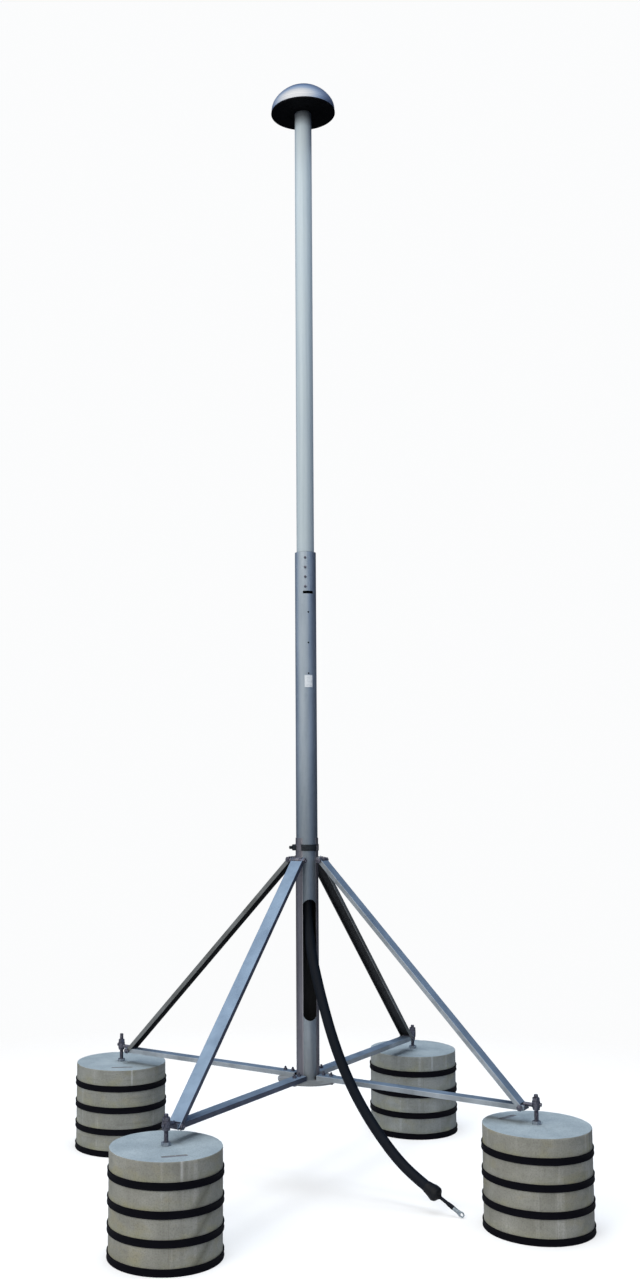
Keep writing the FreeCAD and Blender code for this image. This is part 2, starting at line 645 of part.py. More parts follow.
cable_line, cable_radii = rounded_path(CABLE_ROUTE)
section = Part.Wire(Part.makeCircle(size("cable_radius"), Vector(*CABLE_ROUTE[0]), Vector(0, 0, -1)))
cable_solid = cable_line.makePipeShell([section], True, False)
expected = math.pi * size("cable_radius") ** 2 * cable_line.Length
print("cable length", round(cable_line.Length, 1), "radii", [round(radius) for radius in cable_radii])
print("cable volume ratio", round(cable_solid.Volume / expected, 4))
down_cable = doc.addObject("Part::Feature", "DownCable")
down_cable.Shape = cable_solid
node("down_cable", down_cable)

cable_end = Vector(*CABLE_ROUTE[-1])
cable_heading = (cable_end - Vector(*CABLE_ROUTE[-2])).normalize()
level_across = Vector(0, 0, 1).cross(cable_heading)
along_cable = FreeCAD.Placement(
    cable_end, FreeCAD.Rotation(level_across, Vector(0, 0, 1), cable_heading, "ZXY"))


def boot_outline():
    """The shrunk boot: a collar on the cable, a bulge, and a blunt end round the lead."""
    length = size("boot_length")
    bulge = size("boot_radius")
    profile = [(0, 0), (size("cable_radius") + 1.5, 0), (0.88 * bulge, 0.2 * length),
               (bulge, 0.5 * length), (0.95 * bulge, 0.72 * length), (0.6 * bulge, 0.88 * length),
               (1.5 * size("lead_radius"), length), (0, length)]
    corners = [Vector(x, y, 0) for x, y in profile]
    return [Part.LineSegment(a, b) for a, b in zip(corners, corners[1:] + corners[:1])]


boot = revolve("CableBoot", boot_outline)
boot.Placement = along_cable
node("cable_boot", boot)


def on_cable(*pieces):
    """Stand finished pieces on the cable's end, along its heading."""
    moved = group(*pieces)
    moved.Placement = along_cable
    return moved


lead = cylinder("lead_radius", "lead_length", (0, 0, "boot_length"))
node("cable_tail", on_cable(lead))
lug_foot = "( boot_length + lead_length )"
barrel = cylinder("lug_barrel", "lug_barrel_length", (0, 0, lug_foot))
palm_low = f"( {lug_foot} + lug_barrel_length )"
palm = box(("0 - lug_palm_thick / 2", "0 - lug_palm_width / 2", f"{palm_low} - 4"),
           ("lug_palm_thick", "lug_palm_width", "lug_palm_length - lug_palm_width / 2 + 4"))
tip_centre = f"( {palm_low} + lug_palm_length - lug_palm_width / 2 )"
tip = cylinder("lug_palm_width / 2", "lug_palm_thick", ("0 - lug_palm_thick / 2", 0, tip_centre), "X")
lug_hole = cylinder("lug_hole", "lug_palm_thick + 4", ("0 - lug_palm_thick / 2 - 2", 0, tip_centre), "X")
node("cable_lug", on_cable(cut(fuse(barrel, palm, tip), lug_hole)))

# ---------------------------------------------------------------- check and write
doc.recompute()
for obj in doc.Objects:
    assert not {"Invalid", "Error"} & set(obj.State), (obj.Name, obj.State)
os.makedirs("parts", exist_ok=True)
for label, obj in nodes.items():
    shape = obj.Shape
    assert not shape.isNull() and shape.isValid() and shape.Solids, label
    shape.exportStep(f"parts/{label}.step")
print(len(nodes), "nodes written")
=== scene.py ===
"""The looks of the ballasted antenna mast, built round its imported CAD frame.

Metres, +Z up, origin on the ground under the mast axis, as in the frame.  Every visible CAD
piece is stood for by a mesh made here, on the same body, and the rest keep their CAD shape.
"""

import json
import math
from functools import partialmethod

import bmesh
import bpy
from mathutils import Matrix, Vector, noise

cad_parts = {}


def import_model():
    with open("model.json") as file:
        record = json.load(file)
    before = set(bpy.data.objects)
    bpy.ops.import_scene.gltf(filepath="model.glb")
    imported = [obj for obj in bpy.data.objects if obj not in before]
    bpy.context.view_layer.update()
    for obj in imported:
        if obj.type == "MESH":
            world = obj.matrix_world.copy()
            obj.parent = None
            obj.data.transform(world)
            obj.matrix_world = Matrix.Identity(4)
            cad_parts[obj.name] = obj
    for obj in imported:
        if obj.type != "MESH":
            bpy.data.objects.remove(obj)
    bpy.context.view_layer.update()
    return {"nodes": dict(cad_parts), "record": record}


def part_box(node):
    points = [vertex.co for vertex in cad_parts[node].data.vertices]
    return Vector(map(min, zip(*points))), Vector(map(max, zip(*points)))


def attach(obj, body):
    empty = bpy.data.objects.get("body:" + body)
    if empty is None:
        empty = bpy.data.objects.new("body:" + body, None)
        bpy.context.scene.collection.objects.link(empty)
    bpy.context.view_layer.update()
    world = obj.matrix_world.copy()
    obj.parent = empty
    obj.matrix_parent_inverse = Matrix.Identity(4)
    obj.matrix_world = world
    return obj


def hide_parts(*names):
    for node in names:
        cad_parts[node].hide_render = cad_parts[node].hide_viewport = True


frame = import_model()

BODY_OF = {node: body for body, nodes in frame["record"]["behaviour"]["bodies"].items()
           for node in nodes}
LEGS = ("front_right", "front_left", "back_right", "back_left")
STACK_COUNT = 4
TRAY_FLOOR = 0.0025
TRAY_RIM = 0.0225
MARK_DEPTH = 0.0016
BLOCK_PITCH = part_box("blocks_front_left")[1][2] / STACK_COUNT
scene = bpy.context.scene


# ---------------------------------------------------------------- camera
CAMERA_AT = Vector((-1.16808, -4.49952, 1.388))
CAMERA_LOOK = Vector((0.20114, 0.97382, 0.10592))

camera_data = bpy.data.cameras.new("camera")
camera_data.lens = 36.45
camera_data.shift_x = 0.0618
camera_data.clip_end = 200
camera = bpy.data.objects.new("camera", camera_data)
scene.collection.objects.link(camera)
camera.location = CAMERA_AT
camera.rotation_mode = "QUATERNION"
camera.rotation_quaternion = CAMERA_LOOK.to_track_quat("-Z", "Y")
scene.camera = camera
scene.view_settings.view_transform = "Standard"


# ---------------------------------------------------------------- material helpers
MATERIALS = {}


class NodeTree:
    """Short calls for the nodes of a material or a world."""

    def __init__(self, owner):
        owner.use_nodes = True
        self.owner = owner
        self.nodes = owner.node_tree.nodes
        self.links = owner.node_tree.links

    def feed(self, socket, value):
        """Give a socket a number, a vector, a colour or another node's output."""
        if isinstance(value, bpy.types.NodeSocket):
            self.links.new(value, socket)
        elif isinstance(value, tuple) and socket.type == "RGBA":
            socket.default_value = (*value, 1)
        else:
            socket.default_value = value

    def node(self, kind, inputs=(), **settings):
        """A new node with its settings, and its inputs fed by name or in their order."""
        made = self.nodes.new("ShaderNode" + kind)
        for key, value in settings.items():
            setattr(made, key, value)
        for key, value in inputs.items() if isinstance(inputs, dict) else enumerate(inputs):
            self.feed(made.inputs[key], value)
        return made

    def ramp(self, value, *stops):
        """A colour ramp from (position, colour or grey) stops."""
        made = self.node("ValToRGB", {"Fac": value})
        elements = made.color_ramp.elements
        while len(elements) < len(stops):
            elements.new(1)
        for element, (position, colour) in zip(elements, stops):
            element.position = position
            element.color = (*colour, 1) if isinstance(colour, tuple) else (colour,) * 3 + (1,)
        return made.outputs["Color"]

    def mix(self, factor, first, second, blend="MIX"):
        """Two colours mixed.  The node's colour inputs are 6 and 7, and its colour result is 2."""
        inputs = {"Factor": factor, 6: first, 7: second}
        return self.node("Mix", inputs, data_type="RGBA", blend_type=blend).outputs[2]

    def calculate(self, operation, *values, clamp=False):
        return self.node("Math", values, operation=operation, use_clamp=clamp).outputs[0]

    plus = partialmethod(calculate, "ADD")
    minus = partialmethod(calculate, "SUBTRACT")
    times = partialmethod(calculate, "MULTIPLY")
    divide = partialmethod(calculate, "DIVIDE")

    def component(self, vector, name):
        return self.node("SeparateXYZ", [vector]).outputs[name]

    def length(self, vector):
        return self.node("VectorMath", [vector], operation="LENGTH").outputs["Value"]


class Shader(NodeTree):
    """A Principled material, listed by name, driven by patterns in object coordinates."""

    def __init__(self, name, **inputs):
        super().__init__(bpy.data.materials.new(name))
        MATERIALS[name] = self.owner
        self.set(**inputs)
        self.place = self.node("TexCoord").outputs["Object"]
        self.pattern = self.place

    def set(self, **inputs):
        """Feed the Principled node's inputs, named with _ for each space."""
        for key, value in inputs.items():
            self.feed(self.nodes["Principled BSDF"].inputs[key.replace("_", " ")], value)

    def moved(self, offset):
        """Take the patterns, but not the heights and angles, from another place."""
        inputs = {"Vector": self.place, "Location": (offset, 0, offset)}
        self.pattern = self.node("Mapping", inputs).outputs["Vector"]

    def stretched(self, x, y, z):
        """The pattern's coordinates scaled along each axis."""
        inputs = {"Vector": self.pattern, "Scale": (x, y, z)}
        return self.node("Mapping", inputs).outputs["Vector"]

    def noise(self, scale, detail=4, rough=0.55, at=None, distortion=0.0):
        inputs = {"Vector": at or self.pattern, "Scale": scale, "Detail": detail,
                  "Roughness": rough, "Distortion": distortion}
        return self.node("TexNoise", inputs).outputs["Fac"]

    def cells(self, scale, output):
        return self.node("TexVoronoi", {"Vector": self.pattern, "Scale": scale}).outputs[output]

    def axis(self, name):
        """An object coordinate, such as the height Z."""
        return self.component(self.place, name)

    def azimuth(self):
        """The angle about the object's Z axis, in radians."""
        return self.calculate("ARCTAN2", self.axis("Y"), self.axis("X"))

    def fade(self, value, start, end, share=1.0):
        """0 up to a value's start, rising to a share at its end."""
        return self.ramp(value, (start, 0.0), (end, share))

    def over(self, base, colour, value, *fade):
        """A colour laid over a base where a value is high, as fade says."""
        return self.mix(self.fade(value, *fade), base, colour)

    def band(self, value, centre, width):
        """1 at a value's centre, falling to 0 at a width away on either side."""
        away = self.calculate("ABSOLUTE", self.minus(value, centre))
        return self.minus(1.0, self.divide(away, width), clamp=True)

    def bump(self, height, depth, strength):
        """Relief of a depth in metres."""
        inputs = {"Height": height, "Distance": depth, "Strength": strength}
        self.set(Normal=self.node("Bump", inputs).outputs["Normal"])


def galvanised(name, light, dark, roughness, metallic, bloom_share, grain=(1, 1, 0.12),
               darker_zones=(), painted_lip_highlight=None):
    """Zinc coating: crystal patches, long soft streaks and dull bloom.

    Each darker band, a (centre, reach, shade), darkens the metal about a height, as painted shade,
    dirt or both, as each call says, and a lip highlight, a (degrees, reach), is a painted bright line
    up the mast.
    """
    shader = Shader(name, Metallic=metallic)
    streak = shader.noise(26, detail=5, at=shader.stretched(*grain))
    patch_tone = shader.component(shader.cells(95, "Color"), "X")
    bloom = shader.noise(7, detail=6, rough=0.65)
    colour = shader.over(dark, light, streak, 0.3, 0.72)
    colour = shader.mix(shader.times(patch_tone, 0.22), colour, light)
    pale = tuple(min(1.0, 1.25 * part + 0.05) for part in light)
    colour = shader.over(colour, pale, bloom, 0.55, 0.8, bloom_share)
    for centre, reach, shade in darker_zones:
        near = shader.band(shader.axis("Z"), centre, reach)
        colour = shader.mix(1.0, colour, shader.ramp(near, (0.0, 1.0), (0.7, shade)), "MULTIPLY")
    # A painted highlight along one lip.
    if painted_lip_highlight:
        lip = shader.band(shader.azimuth(), *map(math.radians, painted_lip_highlight))
        colour = shader.mix(shader.times(lip, 0.85), colour, (0.75, 0.75, 0.8))
    rough = shader.plus(roughness - 0.07, shader.times(bloom, 0.22))
    shader.set(Base_Color=colour, Roughness=shader.plus(rough, shader.times(patch_tone, 0.05)))
    fine = shader.noise(420, detail=3)
    shader.bump(shader.plus(shader.times(fine, 0.4), streak), 0.0003, 0.35)


def plated(name, light, dark, roughness=0.38):
    """Dull zinc-plated fasteners with dark dirt in patches."""
    shader = Shader(name, Metallic=0.85)
    darker_zones = shader.noise(160, detail=5)
    shader.set(Base_Color=shader.over(light, dark, darker_zones, 0.36, 0.72, 0.75),
               Roughness=shader.plus(roughness, shader.times(darker_zones, 0.2)))
    shader.bump(shader.noise(900, detail=2), 0.00012, 0.3)


def concrete(name, offset, seam_share, diagonal_share, layer_share, cast=(1, 1, 1)):
    """Cast concrete: beige-grey sides with stains, streaks and mould seams, pale smooth tops whose
    bluish tone is painted sky light.

    Each stack's object has its origin on the ground on the rod's axis.  offset sets the pattern,
    and the shares set the strength of the top block's pale seam, of the lower blocks' darker
    diagonal band and of the level marks left by the pours.  cast tints the sides.
    """
    shader = Shader(name, Roughness=0.86)
    shader.moved(offset)
    broad = shader.noise(9, detail=6, rough=0.6)
    grain = shader.noise(240, detail=5, rough=0.7)
    stain = shader.noise(13, at=shader.stretched(1, 1, 1.6))
    streak = shader.noise(34, detail=3, at=shader.stretched(1, 1, 0.06))
    dark_streak = shader.noise(21, detail=3, at=shader.stretched(1, 1.1, 0.05))
    layer = shader.noise(11, at=shader.stretched(0.8, 0.8, 9), distortion=0.6)
    side = shader.over((0.185, 0.185, 0.16), (0.275, 0.277, 0.25), broad, 0.35, 0.68)
    side = shader.over(side, (0.24, 0.22, 0.135), stain, 0.52, 0.74, 0.6)
    side = shader.over(side, (0.44, 0.44, 0.42), streak, 0.58, 0.72, 0.35)
    side = shader.over(side, (0.15, 0.145, 0.13), dark_streak, 0.6, 0.75, 0.35)
    side = shader.over(side, (0.15, 0.15, 0.13), layer, 0.52, 0.72, layer_share)

    height = shader.axis("Z")
    within = shader.divide(shader.calculate("MODULO", height, BLOCK_PITCH), BLOCK_PITCH)
    is_top = shader.calculate("GREATER_THAN", height, (STACK_COUNT - 1) * BLOCK_PITCH)
    is_lower = shader.minus(1.0, is_top)
    foot = shader.ramp(within, (0.2, 1.0), (0.62, 0.0))
    damp = shader.times(foot, shader.fade(stain, 0.38, 0.62, 0.6))
    side = shader.mix(damp, side, (0.25, 0.25, 0.15))

    wander = shader.plus(shader.azimuth(), shader.times(streak, 0.02))
    seam_at = shader.plus(math.radians(-95), shader.times(is_top, math.radians(12.5)))
    seam = shader.calculate("ABSOLUTE", shader.minus(wander, seam_at))
    pale = shader.times(shader.ramp(seam, (0.006, seam_share), (0.032, 0.0)), is_top)
    pale = shader.times(pale, shader.ramp(within, (0.1, 0.2), (0.5, 1.0)))
    side = shader.mix(pale, side, (0.5, 0.51, 0.5))
    line = shader.times(shader.ramp(seam, (0.003, 0.5), (0.009, 0.0)), is_lower)
    side = shader.mix(line, side, (0.16, 0.155, 0.13))
    # A darker diagonal band across the lower blocks.
    slant = shader.plus(wander, shader.times(within, math.radians(-24)))
    dark_diagonal = shader.times(shader.band(slant, math.radians(-74), math.radians(9)), is_lower)
    side = shader.mix(shader.times(dark_diagonal, diagonal_share), side, (0.13, 0.13, 0.1))
    side = shader.mix(1.0, side, cast, "MULTIPLY")

    # The tops' bluish tone is painted sky light.
    top = shader.over((0.185, 0.225, 0.25), (0.25, 0.295, 0.32), broad, 0.36, 0.66)
    mark = shader.calculate("LESS_THAN", height, STACK_COUNT * BLOCK_PITCH - MARK_DEPTH / 2)
    top = shader.mix(shader.times(mark, 0.85), top, (0.1, 0.1, 0.12))
    normal = shader.node("NewGeometry").outputs["Normal"]
    colour = shader.over(side, top, shader.component(normal, "Z"), 0.4, 0.9)
    speck = shader.ramp(grain, (0.3, 0.7), (0.5, 1.0), (0.72, 1.12))
    colour = shader.mix(1.0, colour, speck, "MULTIPLY")
    skin_share = shader.fade(shader.cells(150, "Distance"), 0.05, 0.16)
    open_share = shader.fade(shader.noise(38, detail=2), 0.5, 0.6)
    pore = shader.times(shader.minus(1.0, skin_share), open_share)
    shader.set(Base_Color=shader.mix(shader.times(pore, 0.75), colour, (0.1, 0.1, 0.09)))
    shader.bump(shader.minus(grain, shader.times(pore, 1.4)), 0.0008, 0.55)


def black_moulding(name, colour, dust, roughness, relief=0.0002, scale=300, shine=0.2):
    """Black rubber or plastic with a film of pale dust."""
    shader = Shader(name, Specular_IOR_Level=shine)
    film = shader.noise(18, detail=5, rough=0.65)
    shader.set(Base_Color=shader.over(colour, dust, film, 0.45, 0.85, 0.4),
               Roughness=shader.plus(roughness, shader.times(film, 0.25)))
    shader.bump(shader.noise(scale), relief, 0.5)


def glass_fibre(name):
    """Smooth pale gel coat over lengthwise fibres, with painted shade under the head."""
    shader = Shader(name, Coat_Weight=0.25, Coat_Roughness=0.2)
    fibre = shader.noise(130, at=shader.stretched(1, 1, 0.012))
    coat = shader.over((0.4, 0.48, 0.53), (0.47, 0.55, 0.6), fibre, 0.35, 0.65)
    coat = shader.over(coat, (0.47, 0.54, 0.56), shader.noise(3.5), 0.4, 0.75, 0.5)
    # Painted shade darkens the tube just under the head.
    shade_under_head = shader.band(shader.axis("Z"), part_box("upper_tube")[1][2], 0.06)
    coat = shader.over(coat, (0.16, 0.17, 0.18), shade_under_head, 0.0, 0.7, 0.85)
    shader.set(Base_Color=coat, Roughness=shader.plus(0.26, shader.times(fibre, 0.16)))
    shader.bump(fibre, 0.0002, 0.25)


def spun_metal(name, light, dark, roughness, rings):
    """Bare metal turned on a lathe: fine rings about the Z axis of the mast."""
    shader = Shader(name, Metallic=1.0, Anisotropic=0.55)
    tangent = shader.node("Tangent", direction_type="RADIAL", axis="Z").outputs[0]
    radius = shader.length(shader.stretched(1, 1, 0))
    shells = shader.plus(radius, shader.times(shader.axis("Z"), -0.6))
    inputs = {"W": shells, "Scale": rings, "Detail": 3}
    ring = shader.node("TexNoise", inputs, noise_dimensions="1D").outputs["Fac"]
    smudge = shader.noise(14, detail=5)
    tone = shader.over(dark, light, ring, 0.35, 0.65)
    shader.set(Base_Color=shader.over(tone, dark, smudge, 0.5, 0.8, 0.4), Tangent=tangent,
               Roughness=shader.plus(roughness, shader.times(smudge, 0.16)))
    shader.bump(ring, 0.00012, 0.18)


def blank_film(name):
    """A blank printed film, slightly dirty."""
    shader = Shader(name, Roughness=0.45)
    dirt = shader.noise(120, detail=5)
    shader.set(Base_Color=shader.over((0.72, 0.76, 0.8), (0.42, 0.47, 0.52), dirt, 0.45, 0.75, 0.7))
    shader.bump(dirt, 0.0001, 0.3)


EVEN_GRAIN = (0.4, 0.4, 0.4)
concrete("concrete_front_right", 3.1, 0.0, 0.15, 0.2)
concrete("concrete_front_left", 0.0, 0.55, 0.85, 0.12)
concrete("concrete_back_right", 7.7, 0.3, 0.3, 0.35, (1.0, 1.07, 1.18))
concrete("concrete_back_left", 5.3, 0.45, 0.2, 0.6, (0.97, 1.0, 1.04))
plated("plated_steel", (0.2, 0.2, 0.25), (0.03, 0.028, 0.04), 0.34)
plated("bright_nuts", (0.42, 0.47, 0.54), (0.12, 0.13, 0.15))
plated("dark_screws", (0.012, 0.012, 0.014), (0.006, 0.006, 0.007), 0.6)
plated("strap_steel", (0.055, 0.065, 0.075), (0.02, 0.022, 0.026), 0.5)
plated("tinned_lug", (0.42, 0.49, 0.54), (0.2, 0.24, 0.27), 0.3)
# The webs' folded steel and the flange copies below it differ by how each face takes the light:
# painted light and shade, with some weathering in the back struts' copy.
galvanised("folded_steel", (0.3, 0.4, 0.52), (0.17, 0.235, 0.325), 0.4, 0.6, 0.3, EVEN_GRAIN)
galvanised("weathered_steel", (0.24, 0.255, 0.26), (0.12, 0.125, 0.12), 0.4, 0.55, 0.3,
           EVEN_GRAIN)
galvanised("pale_steel", (0.42, 0.47, 0.52), (0.22, 0.25, 0.28), 0.4, 0.55, 0.5, EVEN_GRAIN)
galvanised("shaded_steel", (0.1, 0.12, 0.18), (0.055, 0.065, 0.1), 0.4, 0.55, 0.1, EVEN_GRAIN)
galvanised("plate_steel", (0.34, 0.36, 0.38), (0.17, 0.17, 0.165), 0.5, 0.5, 0.5, (1, 1, 1))
# The tube is darker about 1 m, painted shade under the stand's head and in the sleeve, and darker and
# warmer low down, dirt with painted shade that stands in for a darker ground's reflection.
galvanised("tube_steel", (0.52, 0.6, 0.68), (0.31, 0.38, 0.46), 0.38, 0.8, 0.25,
           darker_zones=((1.0, 0.5, 0.62), (0.3, 0.35, (0.8, 0.74, 0.68))))
# The sleeve's left lip gets a painted highlight.
galvanised("sleeve_steel", (0.27, 0.265, 0.3), (0.14, 0.135, 0.16), 0.42, 0.75, 0.2,
           painted_lip_highlight=(-129, 2.2))
# Painted shade: near-black zinc on the channels' inner faces and undersides and on the tube's inner
# side.
galvanised("channel_inside", (0.03, 0.032, 0.035), (0.012, 0.013, 0.015), 0.7, 0.3, 0.0)
spun_metal("spun_aluminium", (0.8, 0.82, 0.86), (0.56, 0.6, 0.67), 0.26, 520)
spun_metal("hub_aluminium", (0.7, 0.71, 0.73), (0.5, 0.51, 0.53), 0.35, 900)
spun_metal("contact_brass", (0.75, 0.58, 0.28), (0.5, 0.36, 0.14), 0.3, 900)
black_moulding("edge_rubber", (0.002, 0.002, 0.004), (0.008, 0.008, 0.011), 0.6, shine=0.07)
black_moulding("black_plastic", (0.001, 0.001, 0.002), (0.003, 0.003, 0.005), 0.6)
black_moulding("seal_rubber", (0.01, 0.01, 0.011), (0.04, 0.04, 0.04), 0.7)
black_moulding("cable_sheath", (0.004, 0.006, 0.01), (0.009, 0.013, 0.02), 0.42, 0.00025, 90,
               0.16)
black_moulding("shrink_sleeve", (0.004, 0.005, 0.007), (0.012, 0.013, 0.016), 0.34, 0.0006, 140,
               0.25)
glass_fibre("glass_fibre")
blank_film("label_blank")


# ---------------------------------------------------------------- mesh helpers
MERGE = 1e-6
ON_AXIS = 1e-9
LONGEST_NUT = 0.01
THREAD_SEGMENTS = 24
ROWS_PER_TURN = 6
SEGMENTS_PER_FLAT = 8


def place(obj, body, nodes):
    """Ride a finished piece on its body, in place of its CAD nodes."""
    if obj.name not in scene.collection.objects:
        scene.collection.objects.link(obj)
    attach(obj, body)
    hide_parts(*nodes)
    return obj


def piece(name, bm, nodes, slot, looks=None, bevel=0.0, sharp=35, origin=(0, 0, 0)):
    """Turn a bmesh into a piece that stands for CAD nodes of one body."""
    nodes = [nodes] if isinstance(nodes, str) else nodes
    bmesh.ops.recalc_face_normals(bm, faces=bm.faces)
    mesh = bpy.data.meshes.new(name)
    bm.to_mesh(mesh)
    bm.free()
    for look in looks or [slot]:
        mesh.materials.append(MATERIALS[look])
    mesh.polygons.foreach_set("use_smooth", [True] * len(mesh.polygons))
    mesh.set_sharp_from_angle(angle=math.radians(sharp))
    obj = bpy.data.objects.new(name, mesh)
    obj.location = origin
    if bevel:
        modifier = obj.modifiers.new("edges", "BEVEL")
        modifier.width = bevel
        modifier.segments = 2
        modifier.limit_method = "ANGLE"
        modifier.angle_limit = math.radians(38)
        modifier.harden_normals = True
    return place(obj, BODY_OF[nodes[0]], nodes)


def rounded(outline, radius, steps=3):
    """Round the corners of a closed (radius, height) outline, as far as its sides allow."""
    points = [Vector(point) for point in outline]
    result = []
    for index, corner in enumerate(points):
        before = points[index - 1] - corner
        after = points[(index + 1) % len(points)] - corner
        reach = min(radius, before.length * 0.45, after.length * 0.45)
        start = corner + before.normalized() * reach
        end = corner + after.normalized() * reach
        for step in range(steps + 1):
            share = step / steps
            result.append(start * (1 - share) ** 2 + corner * 2 * share * (1 - share)
                          + end * share ** 2)
    return result


def polar(angle, radius, height=0.0):
    """The point at an angle about Z."""
    return Vector((radius * math.cos(angle), radius * math.sin(angle), height))


def around(count):
    """The angles of a number of equal steps about Z."""
    return [2 * math.pi * index / count for index in range(count)]


def skin(bm, rings, closed=False, capped=False):
    """Faces from each ring of vertices to the next, back to the first if closed, and caps."""
    for low, high in zip(rings, rings[1:] + rings[:1] if closed else rings[1:]):
        for index, vert in enumerate(low):
            after = (index + 1) % len(low)
            corners = list(dict.fromkeys((vert, low[after], high[after], high[index])))
            if len(corners) > 2:
                bm.faces.new(corners)
    if capped:
        bm.faces.new(rings[0][::-1])
        bm.faces.new(rings[-1])


def revolve(bm, outline, segments, closed=True, matrix=Matrix(), shape=None):
    """Turn an outline about Z.  shape(angle, point) may move each point of the outline."""
    rings = []
    for point in outline:
        if point[0] < ON_AXIS:
            rings.append([bm.verts.new(matrix @ Vector((0, 0, point[1])))] * segments)
            continue
        shaped = (polar(angle, *(shape(angle, point) if shape else point))
                  for angle in around(segments))
        rings.append([bm.verts.new(matrix @ here) for here in shaped])
    skin(bm, rings, closed)


def hexagon(bm, corner, low, high, bore, matrix, chamfers=(True, True)):
    """A nut, or a bolt head where bore is 0, with turned chamfers that cut its corners."""
    flat = corner * math.cos(math.radians(30))
    cone = 0.95 * flat
    slope = math.tan(math.radians(30))
    lead = min(0.08 * corner, 0.4 * (cone - bore))

    def at(angle, point):
        radius, height = point
        if radius < flat * 0.999:
            return point
        reach = flat / math.cos(math.radians(math.degrees(angle) % 60 - 30))
        drop = (reach - cone) * slope
        if height < (low + high) / 2:
            return reach, height + (drop if chamfers[0] else 0)
        return reach, height - (drop if chamfers[1] else 0)

    outline = [(cone, low), (flat, low), (flat, high), (cone, high)]
    if bore:
        outline = [(bore, low + lead), (bore + lead, low), *outline,
                   (bore + lead, high), (bore, high - lead)]
    else:
        outline = [(0, low), *outline, (0, high)]
    revolve(bm, outline, 6 * SEGMENTS_PER_FLAT, bore > 0, matrix, at)


def threaded(bm, radius, pitch, foot, low, high, matrix=Matrix()):
    """A rod with a plain shank from foot up to low and a cut thread from there to high."""
    depth = 0.61 * pitch
    end = 1.2 * depth
    count = max(2, round((high - low) / pitch * ROWS_PER_TURN))

    def ring(height, radius_at):
        radii = (radius_at(index / THREAD_SEGMENTS) for index in range(THREAD_SEGMENTS))
        return [bm.verts.new(matrix @ polar(angle, reach, height))
                for angle, reach in zip(around(THREAD_SEGMENTS), radii)]

    rings = [ring(foot, lambda turn: radius - end),
             ring(foot + end, lambda turn: radius * 0.985),
             ring(low, lambda turn: radius * 0.985)]
    for row in range(count + 1):
        height = low + (high - low) * row / count
        limit = radius - max(0.0, end - (high - height))

        def wave(turn, height=height, limit=limit):
            phase = (height / pitch - turn) % 1
            return min(limit, radius - depth * abs(2 * phase - 1) ** 0.8)

        rings.append(ring(height, wave))
    skin(bm, rings, capped=True)


def bolt(bm, corner, shank, head, pitch, thread, low, high, base):
    """A hexagon bolt from its head's top at low to its tip at high, its last part threaded."""
    hexagon(bm, corner, low, low + head, 0, base, (True, False))
    threaded(bm, shank, pitch, low + head - 0.001, high - thread, high, base)


def parts_of(node, azimuth=0.0):
    """The boxes of a CAD node's loose parts, as (low, high) in a frame turned about Z."""
    source = frame["nodes"][node].data
    bm = bmesh.new()
    bm.from_mesh(source)
    bmesh.ops.remove_doubles(bm, verts=bm.verts, dist=MERGE)
    turn = Matrix.Rotation(-azimuth, 3, "Z")
    seen, boxes = set(), []
    for start in bm.verts:
        if start in seen:
            continue
        seen.add(start)
        todo, found = [start], []
        while todo:
            vert = todo.pop()
            found.append(turn @ vert.co)
            for edge in vert.link_edges:
                other = edge.other_vert(vert)
                if other not in seen:
                    seen.add(other)
                    todo.append(other)
        boxes.append((Vector(map(min, *found)), Vector(map(max, *found))))
    bm.free()
    return boxes


def refined(node, slot, looks=None, look_of=None, bevel=0.0006, ending="finished"):
    """A CAD node's own shape with clean flat faces, soft edges and a look for each face."""
    bm = bmesh.new()
    bm.from_mesh(frame["nodes"][node].data)
    bmesh.ops.remove_doubles(bm, verts=bm.verts, dist=MERGE)
    if look_of:
        for face in bm.faces:
            face.material_index = look_of(face)
    bmesh.ops.dissolve_limit(bm, angle_limit=math.radians(0.8), verts=bm.verts, edges=bm.edges,
                             delimit={"MATERIAL"})
    piece(f"{node}_{ending}", bm, node, slot, looks, bevel, 32)


def leg_axis(leg):
    """The centre line of a leg's rod, and its azimuth about the mast."""
    low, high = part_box(f"threaded_rod_{leg}")
    centre = (Vector(low) + Vector(high)) / 2
    return Vector((centre.x, centre.y, 0)), math.atan2(centre.y, centre.x)


# ---------------------------------------------------------------- cable
# The down cable's route: out of the slot, down past the front right arm, to just off the ground.
CABLE_ROUTE = [
    (0, 0, 1.010), (0, 0, 0.930), (0.0005, -0.020, 0.850), (0.003, -0.052, 0.770),
    (0.012, -0.088, 0.690), (0.024, -0.122, 0.612), (0.041, -0.150, 0.530),
    (0.064, -0.174, 0.448), (0.095, -0.195, 0.366), (0.131, -0.219, 0.290),
    (0.172, -0.249, 0.220), (0.215, -0.286, 0.156), (0.259, -0.329, 0.106),
    (0.301, -0.374, 0.073),
]
CABLE_RADIUS = 0.0175

cable_end = Vector(CABLE_ROUTE[-1])
heading = (cable_end - Vector(CABLE_ROUTE[-2])).normalized()
across = Vector((0, 0, 1)).cross(heading).normalized()
TO_CABLE_END = Matrix((across, heading.cross(across), heading)).transposed().to_4x4()
ALONG_CABLE = Matrix.Translation(cable_end) @ TO_CABLE_END

BOOT_LENGTH = 0.048
LEAD_LENGTH = 0.052
LEAD_RADIUS = 0.0055
BARREL_LENGTH = 0.016
PALM_LENGTH = 0.025


